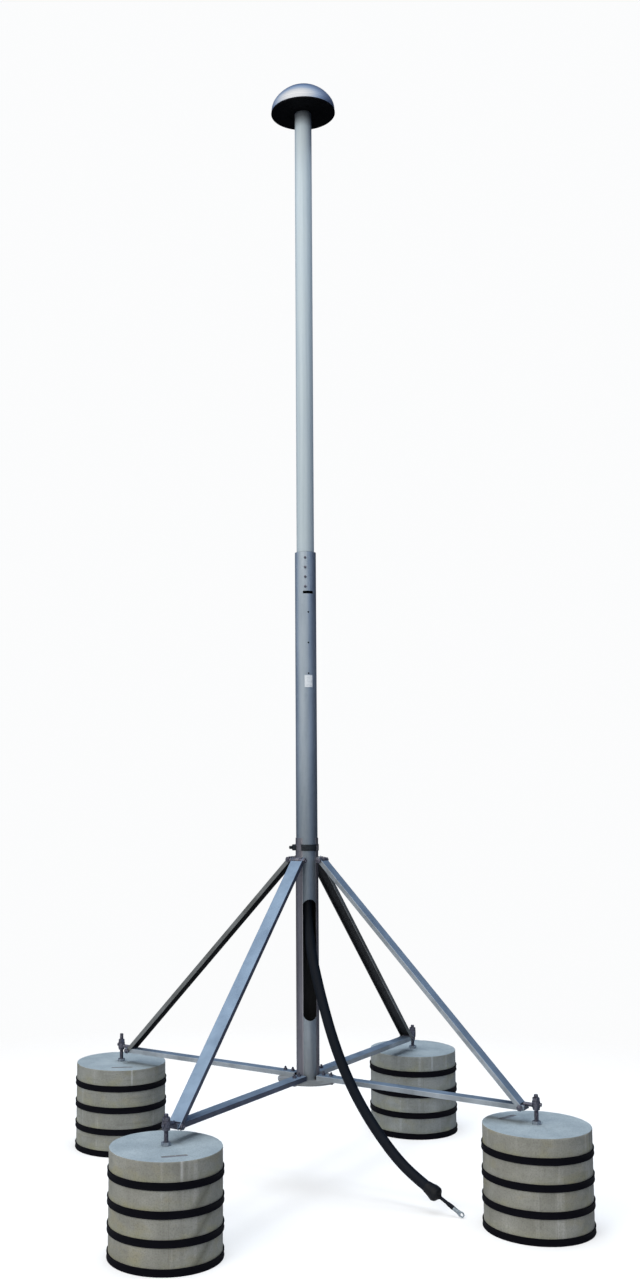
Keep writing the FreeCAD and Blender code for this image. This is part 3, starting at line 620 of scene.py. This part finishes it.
def down_cable():
    """The sheathed cable as one smooth curve."""
    curve = bpy.data.curves.new("down_cable_sheath", "CURVE")
    curve.dimensions = "3D"
    curve.resolution_u = 12
    curve.bevel_depth = CABLE_RADIUS
    curve.bevel_resolution = 10
    curve.use_fill_caps = True
    spline = curve.splines.new("NURBS")
    spline.points.add(len(CABLE_ROUTE) - 1)
    for point, position in zip(spline.points, CABLE_ROUTE):
        point.co = (*position, 1)
    spline.order_u = 3
    spline.use_endpoint_u = True
    curve.materials.append(MATERIALS["cable_sheath"])
    obj = bpy.data.objects.new("down_cable_sheath", curve)
    return place(obj, "mast", ["down_cable"])


def cable_boot():
    """The shrunk boot: a collar that widens into a wrinkled bulge with a blunt end."""
    collar = CABLE_RADIUS + 0.0004
    profile = [
        (CABLE_RADIUS - 0.003, 0.0015), (CABLE_RADIUS - 0.002, -0.0085), (collar, -0.009),
        (collar + 0.0009, -0.006), (collar + 0.0024, 0.002), (0.0217, 0.0095), (0.0241, 0.0165),
        (0.0251, 0.0235), (0.0249, 0.0295), (0.0238, 0.0345), (0.0205, 0.0385), (0.0158, 0.0415),
        (0.0112, 0.044), (0.0086, 0.0462), (0.0068, BOOT_LENGTH),
        (LEAD_RADIUS, BOOT_LENGTH - 0.001),
    ]
    outline = []
    for (r0, z0), (r1, z1) in zip(profile, profile[1:]):
        outline += [(r0 + (r1 - r0) * step / 3, z0 + (z1 - z0) * step / 3) for step in range(3)]
    outline.append(profile[-1])

    def wrinkled(angle, point):
        radius, height = point
        fold = noise.noise(Vector((math.cos(angle) * 1.7, math.sin(angle) * 1.7, height * 90)))
        crease = noise.noise(Vector((math.cos(angle) * 4, math.sin(angle) * 4, height * 25 + 7)))
        share = math.sin(math.pi * min(1, max(0, height / BOOT_LENGTH)))
        return radius * (1 + share * (0.05 * fold + 0.035 * crease)) - 0.0006 * share, height

    bm = bmesh.new()
    revolve(bm, outline, 64, True, ALONG_CABLE, wrinkled)
    return piece("cable_boot_shrunk", bm, "cable_boot", "shrink_sleeve", sharp=70)


def cable_lead():
    """The short lead between boot and lug, with a shrink collar on the lug's barrel."""
    bm = bmesh.new()
    start = BOOT_LENGTH - 0.004
    end = BOOT_LENGTH + LEAD_LENGTH
    outline = [(0, start), (LEAD_RADIUS, start), (LEAD_RADIUS, end - 0.025),
               (LEAD_RADIUS + 0.0009, end - 0.023), (LEAD_RADIUS + 0.0014, end - 0.014),
               (LEAD_RADIUS + 0.0018, end - 0.004), (LEAD_RADIUS + 0.0015, end), (0, end)]
    revolve(bm, outline, 32, False, ALONG_CABLE)
    return piece("cable_lead_sheath", bm, "cable_tail", "cable_sheath", sharp=60)


def lug_barrel(bm, matrix, start, length):
    """The lug's barrel, crimped twice and pressed flat towards the palm."""
    radius, flat_half = 0.0065, 0.002
    rows = 30
    rings = []
    for row in range(rows + 1):
        along = row / rows
        flat = max(0.0, (along - 0.78) / 0.22)
        pinch = sum(max(0.0, 1 - abs(along - spot) / 0.09) for spot in (0.28, 0.55))
        ring = []
        for angle in around(36):
            wide = radius * (1 + 0.33 * flat) * (1 - 0.05 * pinch)
            tall = radius * (1 - flat) + flat_half * flat
            tall *= 1 - 0.22 * pinch * (1 if math.sin(angle) > 0 else 0.4)
            ring.append(bm.verts.new(matrix @ Vector((wide * math.cos(angle),
                                                      tall * math.sin(angle),
                                                      start + along * length))))
        rings.append(ring)
    skin(bm, rings, capped=True)


def lug_palm(bm, matrix, centre):
    """The lug's flat palm, drawn out towards the barrel, with a hole and broken edges."""
    half, hole, thick, edge = 0.009, 0.0052, 0.002, 0.0005
    drawn_out = 1.75
    outer, inner = [], []
    for angle in around(48):
        across_palm, along_palm, _ = polar(angle, half)
        outer.append(Vector((across_palm, 0, along_palm * (drawn_out if along_palm < 0 else 1))))
        inner.append(Vector((hole * math.cos(angle), 0, hole * math.sin(angle))))
    loops = []
    for points, radius, order in ((outer, -half, 1), (inner, hole, -1)):
        rims = []
        for side, inset in ((-1, edge), (-1, 0), (1, 0), (1, edge)):
            lift = Vector((0, side * (thick if inset else thick - edge), centre))
            rims.append([bm.verts.new(matrix @ (point * (1 + inset / radius) + lift))
                         for point in points])
        loops += rims[::order]
    skin(bm, loops, closed=True)


def cable_lug():
    """A crimped ring lug: barrel, neck and drilled palm."""
    turned = ALONG_CABLE @ Matrix.Rotation(math.radians(90), 4, "Z")
    barrel_start = BOOT_LENGTH + LEAD_LENGTH
    bm = bmesh.new()
    lug_barrel(bm, turned, barrel_start, BARREL_LENGTH + 0.004)
    lug_palm(bm, turned, barrel_start + BARREL_LENGTH + PALM_LENGTH - 0.009)
    return piece("cable_lug_crimped", bm, "cable_lug", "tinned_lug", sharp=40)


cable = down_cable()
boot = cable_boot()
lead = cable_lead()
lug = cable_lug()


# ---------------------------------------------------------------- ballast
BORE_RADIUS = 0.009
SMOOTH_WITHIN = 0.02
SEGMENTS = 168
# Which way each top block's marking recess faces, in degrees about its own axis.
MARK_FACING = {"front_left": -86, "front_right": 120, "back_left": -95, "back_right": 105}


def block_outline(radius, height):
    """A block's section: bore, nut recess below, broken edges and enough rings to be uneven."""
    recess, recess_depth = 0.015, 0.014
    edge = 0.0022
    rings = [0.03, 0.05, 0.075, 0.1, 0.125, 0.145, 0.158]
    sides = [0.006, 0.014, 0.024, 0.034, 0.044, 0.054, 0.063, 0.069]
    outline = [(BORE_RADIUS, recess_depth), (recess, recess_depth), (recess, 0)]
    outline += [(ring, 0) for ring in rings]
    outline += [(radius - 2 * edge, 0), (radius - edge, 0.0002),
                (radius - 0.3 * edge, 0.3 * edge), (radius, edge)]
    outline += [(radius, side) for side in sides]
    outline += [(radius, height - edge), (radius - 0.3 * edge, height - 0.3 * edge),
                (radius - edge, height - 0.0002), (radius - 2 * edge, height)]
    outline += [(ring, height) for ring in reversed(rings)]
    return outline + [(BORE_RADIUS + 0.001, height), (BORE_RADIUS, height - 0.001)]


def cast_block(bm, radius, height, low, seed):
    """One block with chipped arrises and a slightly uneven skin."""
    arris_height = 0.0024

    def cast(angle, point):
        r, z = point
        if r < SMOOTH_WITHIN:
            return r, z + low
        out = polar(angle, 1)
        uneven = noise.noise(out * 2.2 + Vector((seed, 0, z * 14)))
        inward = 0.00045 - 0.0003 * uneven if r > radius - 0.006 else 0
        if r > radius - 0.0045 and (z < arris_height or z > height - arris_height):
            chip = 0.005 * max(0.0, noise.noise(out * 7 + Vector((seed * 3, z * 6, 1))) - 0.3)
            chip += 0.0016 * max(0.0, noise.noise(out * 15 + Vector((seed, 5, z * 9))) - 0.25)
            chip *= 1 if r > radius - 0.0021 else 0.35
            toward = 1 if z > height / 2 else -1
            return r - inward - chip, z + low - toward * chip * 0.55
        if z <= height / 2:
            return r - inward, z + low
        wave = noise.noise(out * r * 30 + Vector((0, seed, 0))) if r < radius - 0.001 else 0
        return r - inward, z + low + 0.00022 * wave - 0.0002

    revolve(bm, block_outline(radius, height), SEGMENTS, True, Matrix(), cast)


def mark_cutter(height, facing):
    """The blank marking recess on a block's top, as a cutting tool with rounded ends."""
    length, end_radius, out = 0.08, 0.008, 0.112
    spread, tool_height = 1.04, 0.01
    turn = (Matrix.Rotation(math.radians(facing), 4, "Z")
            @ Matrix.Translation((out, 0, height - MARK_DEPTH)))
    loop = []
    for side in (-1, 1):
        for step in range(7):
            angle = math.pi * step / 6
            along = length / 2 - end_radius + end_radius * math.sin(angle)
            loop.append(Vector((side * end_radius * math.cos(angle), side * along, 0)))
    bm = bmesh.new()
    low = [bm.verts.new(turn @ point) for point in loop]
    high = [bm.verts.new(turn @ (point * spread + Vector((0, 0, tool_height)))) for point in loop]
    skin(bm, [low, high], capped=True)
    bmesh.ops.recalc_face_normals(bm, faces=bm.faces)
    return bm


def carve(obj, cutter):
    """Cut a bmesh out of a piece's mesh and keep its smooth shading."""
    mesh = bpy.data.meshes.new("cutter")
    cutter.to_mesh(mesh)
    cutter.free()
    tool = bpy.data.objects.new("cutter", mesh)
    scene.collection.objects.link(tool)
    tool.location = obj.location
    modifier = obj.modifiers.new("cut", "BOOLEAN")
    modifier.operation = "DIFFERENCE"
    modifier.solver = "EXACT"
    modifier.object = tool
    bpy.context.view_layer.update()
    shown = obj.evaluated_get(bpy.context.evaluated_depsgraph_get())
    result = bpy.data.meshes.new_from_object(shown)
    obj.modifiers.remove(modifier)
    obj.data = result
    bpy.data.objects.remove(tool)
    result.polygons.foreach_set("use_smooth", [True] * len(result.polygons))
    result.set_sharp_from_angle(angle=math.radians(32))


def ballast(leg, seed):
    """A leg's four blocks, as one piece about the rod's axis."""
    axis, _ = leg_axis(leg)
    low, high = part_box(f"blocks_{leg}")
    radius = (high[0] - low[0]) / 2
    top = high[2]
    pitch = (top - low[2] + TRAY_FLOOR) / STACK_COUNT
    bm = bmesh.new()
    for level in range(STACK_COUNT):
        cast_block(bm, radius, pitch - TRAY_FLOOR, level * pitch + TRAY_FLOOR, seed + 1.7 * level)
    obj = piece(f"concrete_{leg}", bm, f"blocks_{leg}", "concrete", [f"concrete_{leg}"],
                sharp=32, origin=axis)
    carve(obj, mark_cutter(top, MARK_FACING[leg]))


def trays(leg):
    """The black edge trays: floor, upright rim with a rolled lip and a moulded foot bead."""
    axis, _ = leg_axis(leg)
    low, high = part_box(f"trays_{leg}")
    outer = (high[0] - low[0]) / 2
    inner = outer - 0.0036
    pitch = (high[2] - TRAY_RIM) / (STACK_COUNT - 1)
    section = [(BORE_RADIUS, 0), (outer - 0.0009, 0), (outer, 0.0012), (outer, 0.0042),
               (outer - 0.0007, 0.0055), (outer - 0.0009, 0.0175), (outer, 0.019),
               (outer, TRAY_RIM), (inner, TRAY_RIM), (inner, TRAY_FLOOR), (BORE_RADIUS, TRAY_FLOOR)]
    bm = bmesh.new()
    for level in range(STACK_COUNT):
        def seated(angle, point, level=level):
            r, z = point
            wave = noise.noise(Vector((math.cos(angle) * 2.5, math.sin(angle) * 2.5, level * 3.1)))
            return r, z + level * pitch - (0.0007 * (1 + wave) if z > 0.016 else 0)

        revolve(bm, rounded(section, 0.0011), SEGMENTS, True, Matrix(), seated)
    piece(f"edge_trays_{leg}", bm, f"trays_{leg}", "edge_rubber", sharp=50, origin=axis)


def levelling(leg):
    """The threaded rod, the nuts under and on the stack, and the two lock nuts at the eye."""
    axis, azimuth = leg_axis(leg)
    low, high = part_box(f"threaded_rod_{leg}")
    radius = (high[0] - low[0]) / 2
    pitch, lock_nut_gap = 0.002, 0.00006
    thread_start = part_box(f"blocks_{leg}")[1][2] - 0.01
    bm = bmesh.new()
    threaded(bm, radius, pitch, low[2], thread_start, high[2])
    piece(f"levelling_rod_{leg}", bm, f"threaded_rod_{leg}", "plated_steel", sharp=25, origin=axis)

    turn = Matrix.Rotation(azimuth, 4, "Z")
    for name, node, look, bore in (
            ("stack_nuts", "rod_nuts", "bright_nuts", radius),
            ("eye_lock_nuts", "lock_nuts", "plated_steel", radius + lock_nut_gap)):
        bm = bmesh.new()
        for part_low, part_high in parts_of(f"{node}_{leg}", azimuth):
            corner = (part_high.x - part_low.x) / 2
            hexagon(bm, corner, part_low.z, part_high.z, bore, turn)
        piece(f"{name}_{leg}", bm, f"{node}_{leg}", "plated_steel", [look], 0.00025, origin=axis)


for number, leg_name in enumerate(LEGS):
    ballast(leg_name, 11.3 * number)
    trays(leg_name)
    levelling(leg_name)


# ---------------------------------------------------------------- stand
def channel_look(node, leg):
    """A test for a folded channel's web, 0, its inner faces and undersides, 1, which get painted
    shade, and its flanges, 2, which get painted light and shade by member.
    """
    _, azimuth = leg_axis(leg)
    sideways = Vector((-math.sin(azimuth), math.cos(azimuth), 0))
    half = max(abs(vert.co.dot(sideways)) for vert in frame["nodes"][node].data.vertices)

    def look(face):
        offset = face.calc_center_median().dot(sideways)
        across = face.normal.dot(sideways)
        inner_side = abs(across) > 0.7 and offset * across < 0 and abs(offset) > 0.5 * half
        underside = face.normal.z < -0.2 and abs(across) < 0.3 and abs(offset) < half - 0.0026
        if inner_side or underside:
            return 1
        return 2 if abs(across) > 0.7 or face.normal.z < -0.2 else 0

    return look


def tube_look(face):
    """The mast tube's inner side gets painted shade."""
    centre = face.calc_center_median()
    return 1 if face.normal.x * centre.x + face.normal.y * centre.y < -0.5 * centre.xy.length else 0


def strap_look(face):
    """The strap is dark where it lies on the tube, and dull zinc outside the sleeve."""
    centre = face.calc_center_median()
    return 0 if math.degrees(abs(math.atan2(centre.x, -centre.y))) < 44 else 1


# Painted light and shade on the flanges: the front left members get the shaded copy, the back struts
# a darker weathered copy, and the rest the lit copy.
FLANGE_LOOKS = {"arm_front_left": "shaded_steel", "strut_front_left": "shaded_steel",
                "strut_back_left": "weathered_steel", "strut_back_right": "weathered_steel"}

for leg_name in LEGS:
    for kind in ("arm", "strut"):
        channel_node = f"{kind}_{leg_name}"
        looks = ["folded_steel", "channel_inside", FLANGE_LOOKS.get(channel_node, "pale_steel")]
        refined(channel_node, "folded_steel", looks, channel_look(channel_node, leg_name), 0.0004,
                "folded")

refined("strut_ears", "folded_steel", ["sleeve_steel"])
refined("strut_head_spacers", "plated_steel")
refined("rod_eyes", "plated_steel")
refined("base_plate", "folded_steel", ["plate_steel"])
refined("socket_sleeve", "tube_steel", ["sleeve_steel"])
refined("clamp_strap", "strap_steel", ["strap_steel", "sleeve_steel"], strap_look)


def cross_bolts(node):
    """Hexagon bolts and nuts across the channels' lugs, each leg's seen along its own azimuth."""
    shank, head, pitch, thread = 0.005, 0.0065, 0.0015, 0.014
    bm = bmesh.new()
    for leg in LEGS:
        _, azimuth = leg_axis(leg)
        for low, high in parts_of(node, azimuth):
            if low.x < 0 or abs(low.y + high.y) > 0.1:
                continue  # another leg's
            middle = (low + high) / 2
            corner = max(high.z - low.z, high.x - low.x) / 2
            base = (Matrix.Rotation(azimuth, 4, "Z")
                    @ Matrix.Translation((middle.x, 0, middle.z))
                    @ Matrix.Rotation(math.radians(-90), 4, "X"))
            if high.y - low.y < LONGEST_NUT:
                hexagon(bm, corner, low.y, high.y, shank, base)
            else:
                bolt(bm, corner, shank, head, pitch, thread, low.y, high.y, base)
    piece(f"{node}_finished", bm, node, "plated_steel", bevel=0.0002)


def base_bolts():
    """Upright bolts through the base plate and the arms, nuts on top."""
    shank, head, pitch, thread = 0.004, 0.0055, 0.00125, 0.02
    bm = bmesh.new()
    for low, high in parts_of("base_bolts"):
        middle = (low + high) / 2
        base = (Matrix.Translation((middle.x, middle.y, 0))
                @ Matrix.Rotation(math.atan2(middle.y, middle.x), 4, "Z"))
        corner = max(high.x - low.x, high.y - low.y) / 2 / math.cos(math.radians(15))
        if high.z - low.z < LONGEST_NUT:
            hexagon(bm, corner, low.z, high.z, shank, base)
        else:
            bolt(bm, corner, shank, head, pitch, thread, low.z, high.z, base)
    piece("base_bolts_finished", bm, "base_bolts", "plated_steel", bevel=0.0002)


def small_screws(node, body_radius, head, shank, depth, axes):
    """Hexagon-headed screws that point from outside at the nearest of some upright axes."""
    inner, outer = body_radius - depth, body_radius + 0.001
    bm = bmesh.new()
    for low, high in parts_of(node):
        middle = (low + high) / 2
        foot = Vector((middle.x, middle.y, 0))
        axis = min(axes, key=lambda centre: (centre - foot).length)
        base = (Matrix.Translation(axis + Vector((0, 0, middle.z)))
                @ (foot - axis).to_track_quat("Z", "Y").to_matrix().to_4x4())
        corner = (high.z - low.z) / 2
        hexagon(bm, corner, body_radius, body_radius + head, 0, base, (False, True))
        revolve(bm, [(0, inner), (shank, inner), (shank, outer), (0, outer)], 24, False, base)
    piece(f"{node}_finished", bm, node, "plated_steel", bevel=0.0002)


def clamp():
    """The clamping screw and its nut, square to the mast on the left."""
    low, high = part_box("clamp_screw")
    radius = (high[2] - low[2]) / 2
    outward = (Matrix.Translation((0, 0, (low[2] + high[2]) / 2))
               @ Matrix.Rotation(math.radians(-90), 4, "Y"))
    pitch, point = 0.00175, 0.001
    bm = bmesh.new()
    threaded(bm, radius, pitch, -high[0], -high[0] + point, -low[0], outward)
    piece("clamp_screw_finished", bm, "clamp_screw", "strap_steel")
    nut_low, nut_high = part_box("clamp_nut")
    corner = max(nut_high[2] - nut_low[2], nut_high[1] - nut_low[1]) / 2
    bm = bmesh.new()
    hexagon(bm, corner, -nut_high[0], -nut_low[0], radius, outward)
    piece("clamp_nut_finished", bm, "clamp_nut", "strap_steel", bevel=0.0003)


cross_bolts("strut_head_bolts")
cross_bolts("arm_end_bolts")
base_bolts()
small_screws("eye_screws", body_radius=0.0125, head=0.005, shank=0.003, depth=0.0045,
             axes=[leg_axis(leg)[0] for leg in LEGS])
clamp()


# ---------------------------------------------------------------- mast
def upper_tube():
    """The glass-fibre tube."""
    low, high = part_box("upper_tube")
    outer = high[0]
    inner = outer - 0.005
    section = [(inner, low[2]), (outer, low[2]), (outer, high[2]), (inner, high[2])]
    bm = bmesh.new()
    revolve(bm, rounded(section, 0.0012), 128)
    piece("glass_fibre_tube", bm, "upper_tube", "grp", ["glass_fibre"], sharp=60)


small_screws("tube_screws", body_radius=0.03805, head=0.0032, shank=0.003, depth=0.006,
             axes=[Vector()])
upper_tube()
refined("lower_tube", "tube_steel", ["tube_steel", "channel_inside"], tube_look, 0.0005)
refined("label_plate", "label_blank", bevel=0.0002)


# ---------------------------------------------------------------- head
def dome_outline(inset, foot, apex, outer):
    """The dome's section on one side of its wall, from the foot to the apex."""
    knuckle, skirt_height = 0.058, 0.008
    skirt = foot + skirt_height
    offset = outer - knuckle
    rise = apex - skirt
    crown = (offset ** 2 + rise ** 2 - knuckle ** 2) / (2 * (rise - knuckle))
    centre = apex - crown
    meet = math.atan2(skirt - centre, offset)
    points = [(outer - inset, foot + 0.001), (outer - inset, foot + 0.5 * skirt_height)]
    points += [(offset + (knuckle - inset) * math.cos(meet * step / 24),
                skirt + (knuckle - inset) * math.sin(meet * step / 24)) for step in range(25)]
    points += [((crown - inset) * math.cos(angle), centre + (crown - inset) * math.sin(angle))
               for angle in (meet + (math.pi / 2 - meet) * step / 20 for step in range(1, 20))]
    return points + [(0, apex - inset)]


def dome():
    """The spun dome with a rolled bead at its foot."""
    low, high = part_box("dome_shell")
    outer, foot, apex = high[0], low[2], high[2]
    bead, wall = 0.0019, 0.002
    rim = outer - 0.001
    angles = (math.radians(-90 + 20 * step) for step in range(9))
    beaded = [(rim + bead * math.cos(angle), foot + bead + bead * math.sin(angle))
              for angle in angles]
    outside = [point for point in dome_outline(0, foot, apex, outer) if point[1] > foot + 0.004]
    inside = dome_outline(wall, foot, apex, outer)
    bm = bmesh.new()
    revolve(bm, [*beaded, *outside], 192, False)
    revolve(bm, [*reversed(inside), (rim, foot)], 192, False)
    bmesh.ops.remove_doubles(bm, verts=bm.verts, dist=1e-5)
    piece("spun_dome", bm, "dome_shell", "spun_aluminium", sharp=50)


def dome_base():
    """The black disc under the dome: a proud lip and shallow moulded rings."""
    low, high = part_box("dome_base")
    outer, bottom, collar_top = high[0], low[2], high[2]
    top = bottom + 0.006
    groove = bottom + 0.0008
    bore, collar_in, collar_out = 0.0301, 0.109, 0.1128
    under = [(bore, bottom + 0.0004), (0.036, bottom), (0.05, bottom), (0.0506, groove),
             (0.0516, groove), (0.0522, bottom), (0.088, bottom), (0.0886, groove),
             (0.0896, groove), (0.0902, bottom), (0.108, bottom + 0.0006), (0.113, bottom),
             (outer - 0.0015, bottom), (outer, bottom + 0.0015), (outer, top - 0.0012),
             (outer - 0.0012, top), (collar_out, top), (collar_out, collar_top),
             (collar_in, collar_top), (collar_in, top), (bore, top)]
    bm = bmesh.new()
    revolve(bm, rounded(under, 0.0005, steps=2), 160)
    piece("dome_disc", bm, "dome_base", "black_plastic", sharp=40)


def dome_screws():
    """Pan-headed screws with a plain round recess under the disc."""
    low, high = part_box("dome_screws")
    bottom, top = low[2], high[2]
    head, shank = 0.005, 0.0025
    seat = bottom + 0.0028
    outline = [(0, bottom + 0.0012), (0.0012, bottom + 0.0012), (0.0016, bottom),
               (head * 0.6, bottom + 0.0002), (head * 0.9, bottom + 0.0009),
               (head, bottom + 0.0019), (head, seat), (shank, seat), (shank, top), (0, top)]
    bm = bmesh.new()
    for part_low, part_high in parts_of("dome_screws"):
        middle = (part_low + part_high) / 2
        revolve(bm, outline, 32, False, Matrix.Translation((middle.x, middle.y, 0)))
    piece("dome_screws_finished", bm, "dome_screws", "plated_steel", ["dark_screws"], sharp=40)


dome()
dome_base()
dome_screws()


# ---------------------------------------------------------------- CAD pieces that stay as they are
INNER_LOOKS = {"reducer_bush": "black_plastic", "support_ring": "black_plastic",
               "dome_seal": "seal_rubber", "head_hub": "hub_aluminium",
               "contact_post": "contact_brass", "inner_cable": "cable_sheath",
               "cable_spacers": "black_plastic"}
for node_name, look in INNER_LOOKS.items():
    node_mesh = frame["nodes"][node_name].data
    node_mesh.materials.clear()
    node_mesh.materials.append(MATERIALS[look])


# ---------------------------------------------------------------- floor, backdrop and light
BACKDROP = (0.97, 0.975, 0.98)


def floor():
    """A pale floor near the object that thins out into the backdrop's own colour."""
    bpy.ops.mesh.primitive_circle_add(vertices=96, radius=60, fill_type="NGON")
    obj = bpy.context.object
    obj.name = "floor"
    tree = NodeTree(bpy.data.materials.new("floor"))
    tree.nodes.clear()
    distance = tree.length(tree.node("TexCoord").outputs["Object"])
    inputs = {"Value": distance, "From Min": 1.0, "From Max": 3.0, "To Min": 0.5, "To Max": 0.0}
    fade = tree.node("MapRange", inputs, interpolation_type="SMOOTHSTEP")
    clear = tree.node("BsdfTransparent")
    matt = tree.node("BsdfDiffuse", {"Color": (0.86, 0.86, 0.86)})
    blend = tree.node("MixShader", [fade.outputs[0], clear.outputs[0], matt.outputs[0]])
    tree.node("OutputMaterial", {"Surface": blend.outputs[0]})
    obj.data.materials.append(tree.owner)


def world():
    """A plain pale backdrop for the camera, and an overcast sky, brightest at the left, for light."""
    tree = NodeTree(bpy.data.worlds.new("studio"))
    direction = tree.node("TexCoord").outputs["Generated"]
    brightest = tuple(Vector((-0.62, -0.62, 0.62)).normalized() * 0.5)
    toward = tree.node("VectorMath", [direction, brightest], operation="DOT_PRODUCT")
    clouds = tree.ramp(tree.plus(toward.outputs["Value"], 0.5),
                       (0.0, (0.006, 0.009, 0.02)), (0.35, (0.02, 0.03, 0.06)),
                       (0.55, (0.07, 0.12, 0.24)), (0.7, (0.28, 0.4, 0.58)),
                       (0.8, (0.62, 0.64, 0.66)), (0.95, (0.95, 0.92, 0.87)))
    horizon = tree.ramp(tree.component(direction, "Z"), (0.0, 0.25), (0.12, 1.0))
    sky = tree.nodes["Background"]
    tree.feed(sky.inputs["Color"], tree.mix(1.0, clouds, horizon, "MULTIPLY"))
    sky.inputs["Strength"].default_value = 1.25
    plain = tree.node("Background", {"Color": BACKDROP})
    camera_ray = tree.node("LightPath").outputs["Is Camera Ray"]
    chosen = tree.node("MixShader", [camera_ray, sky.outputs[0], plain.outputs[0]])
    tree.feed(tree.nodes["World Output"].inputs["Surface"], chosen.outputs[0])
    scene.world = tree.owner


def softbox(name, at, aim, width, height, power, colour):
    """A soft light that shiny surfaces do not mirror."""
    light = bpy.data.lights.new(name, "AREA")
    light.shape = "RECTANGLE"
    light.size, light.size_y = width, height
    light.energy = power
    light.color = colour
    obj = bpy.data.objects.new(name, light)
    scene.collection.objects.link(obj)
    obj.location = at
    obj.rotation_mode = "QUATERNION"
    obj.rotation_quaternion = (Vector(aim) - Vector(at)).to_track_quat("-Z", "Y")
    obj.visible_glossy = False


floor()
world()
softbox("key", (-5.5, -4.5, 5.5), (0, 0, 1.6), 3.5, 4.5, 330, (1, 0.98, 0.95))
softbox("top", (0.5, 0.5, 7.5), (0, 0, 0), 5, 5, 560, (0.88, 0.94, 1))
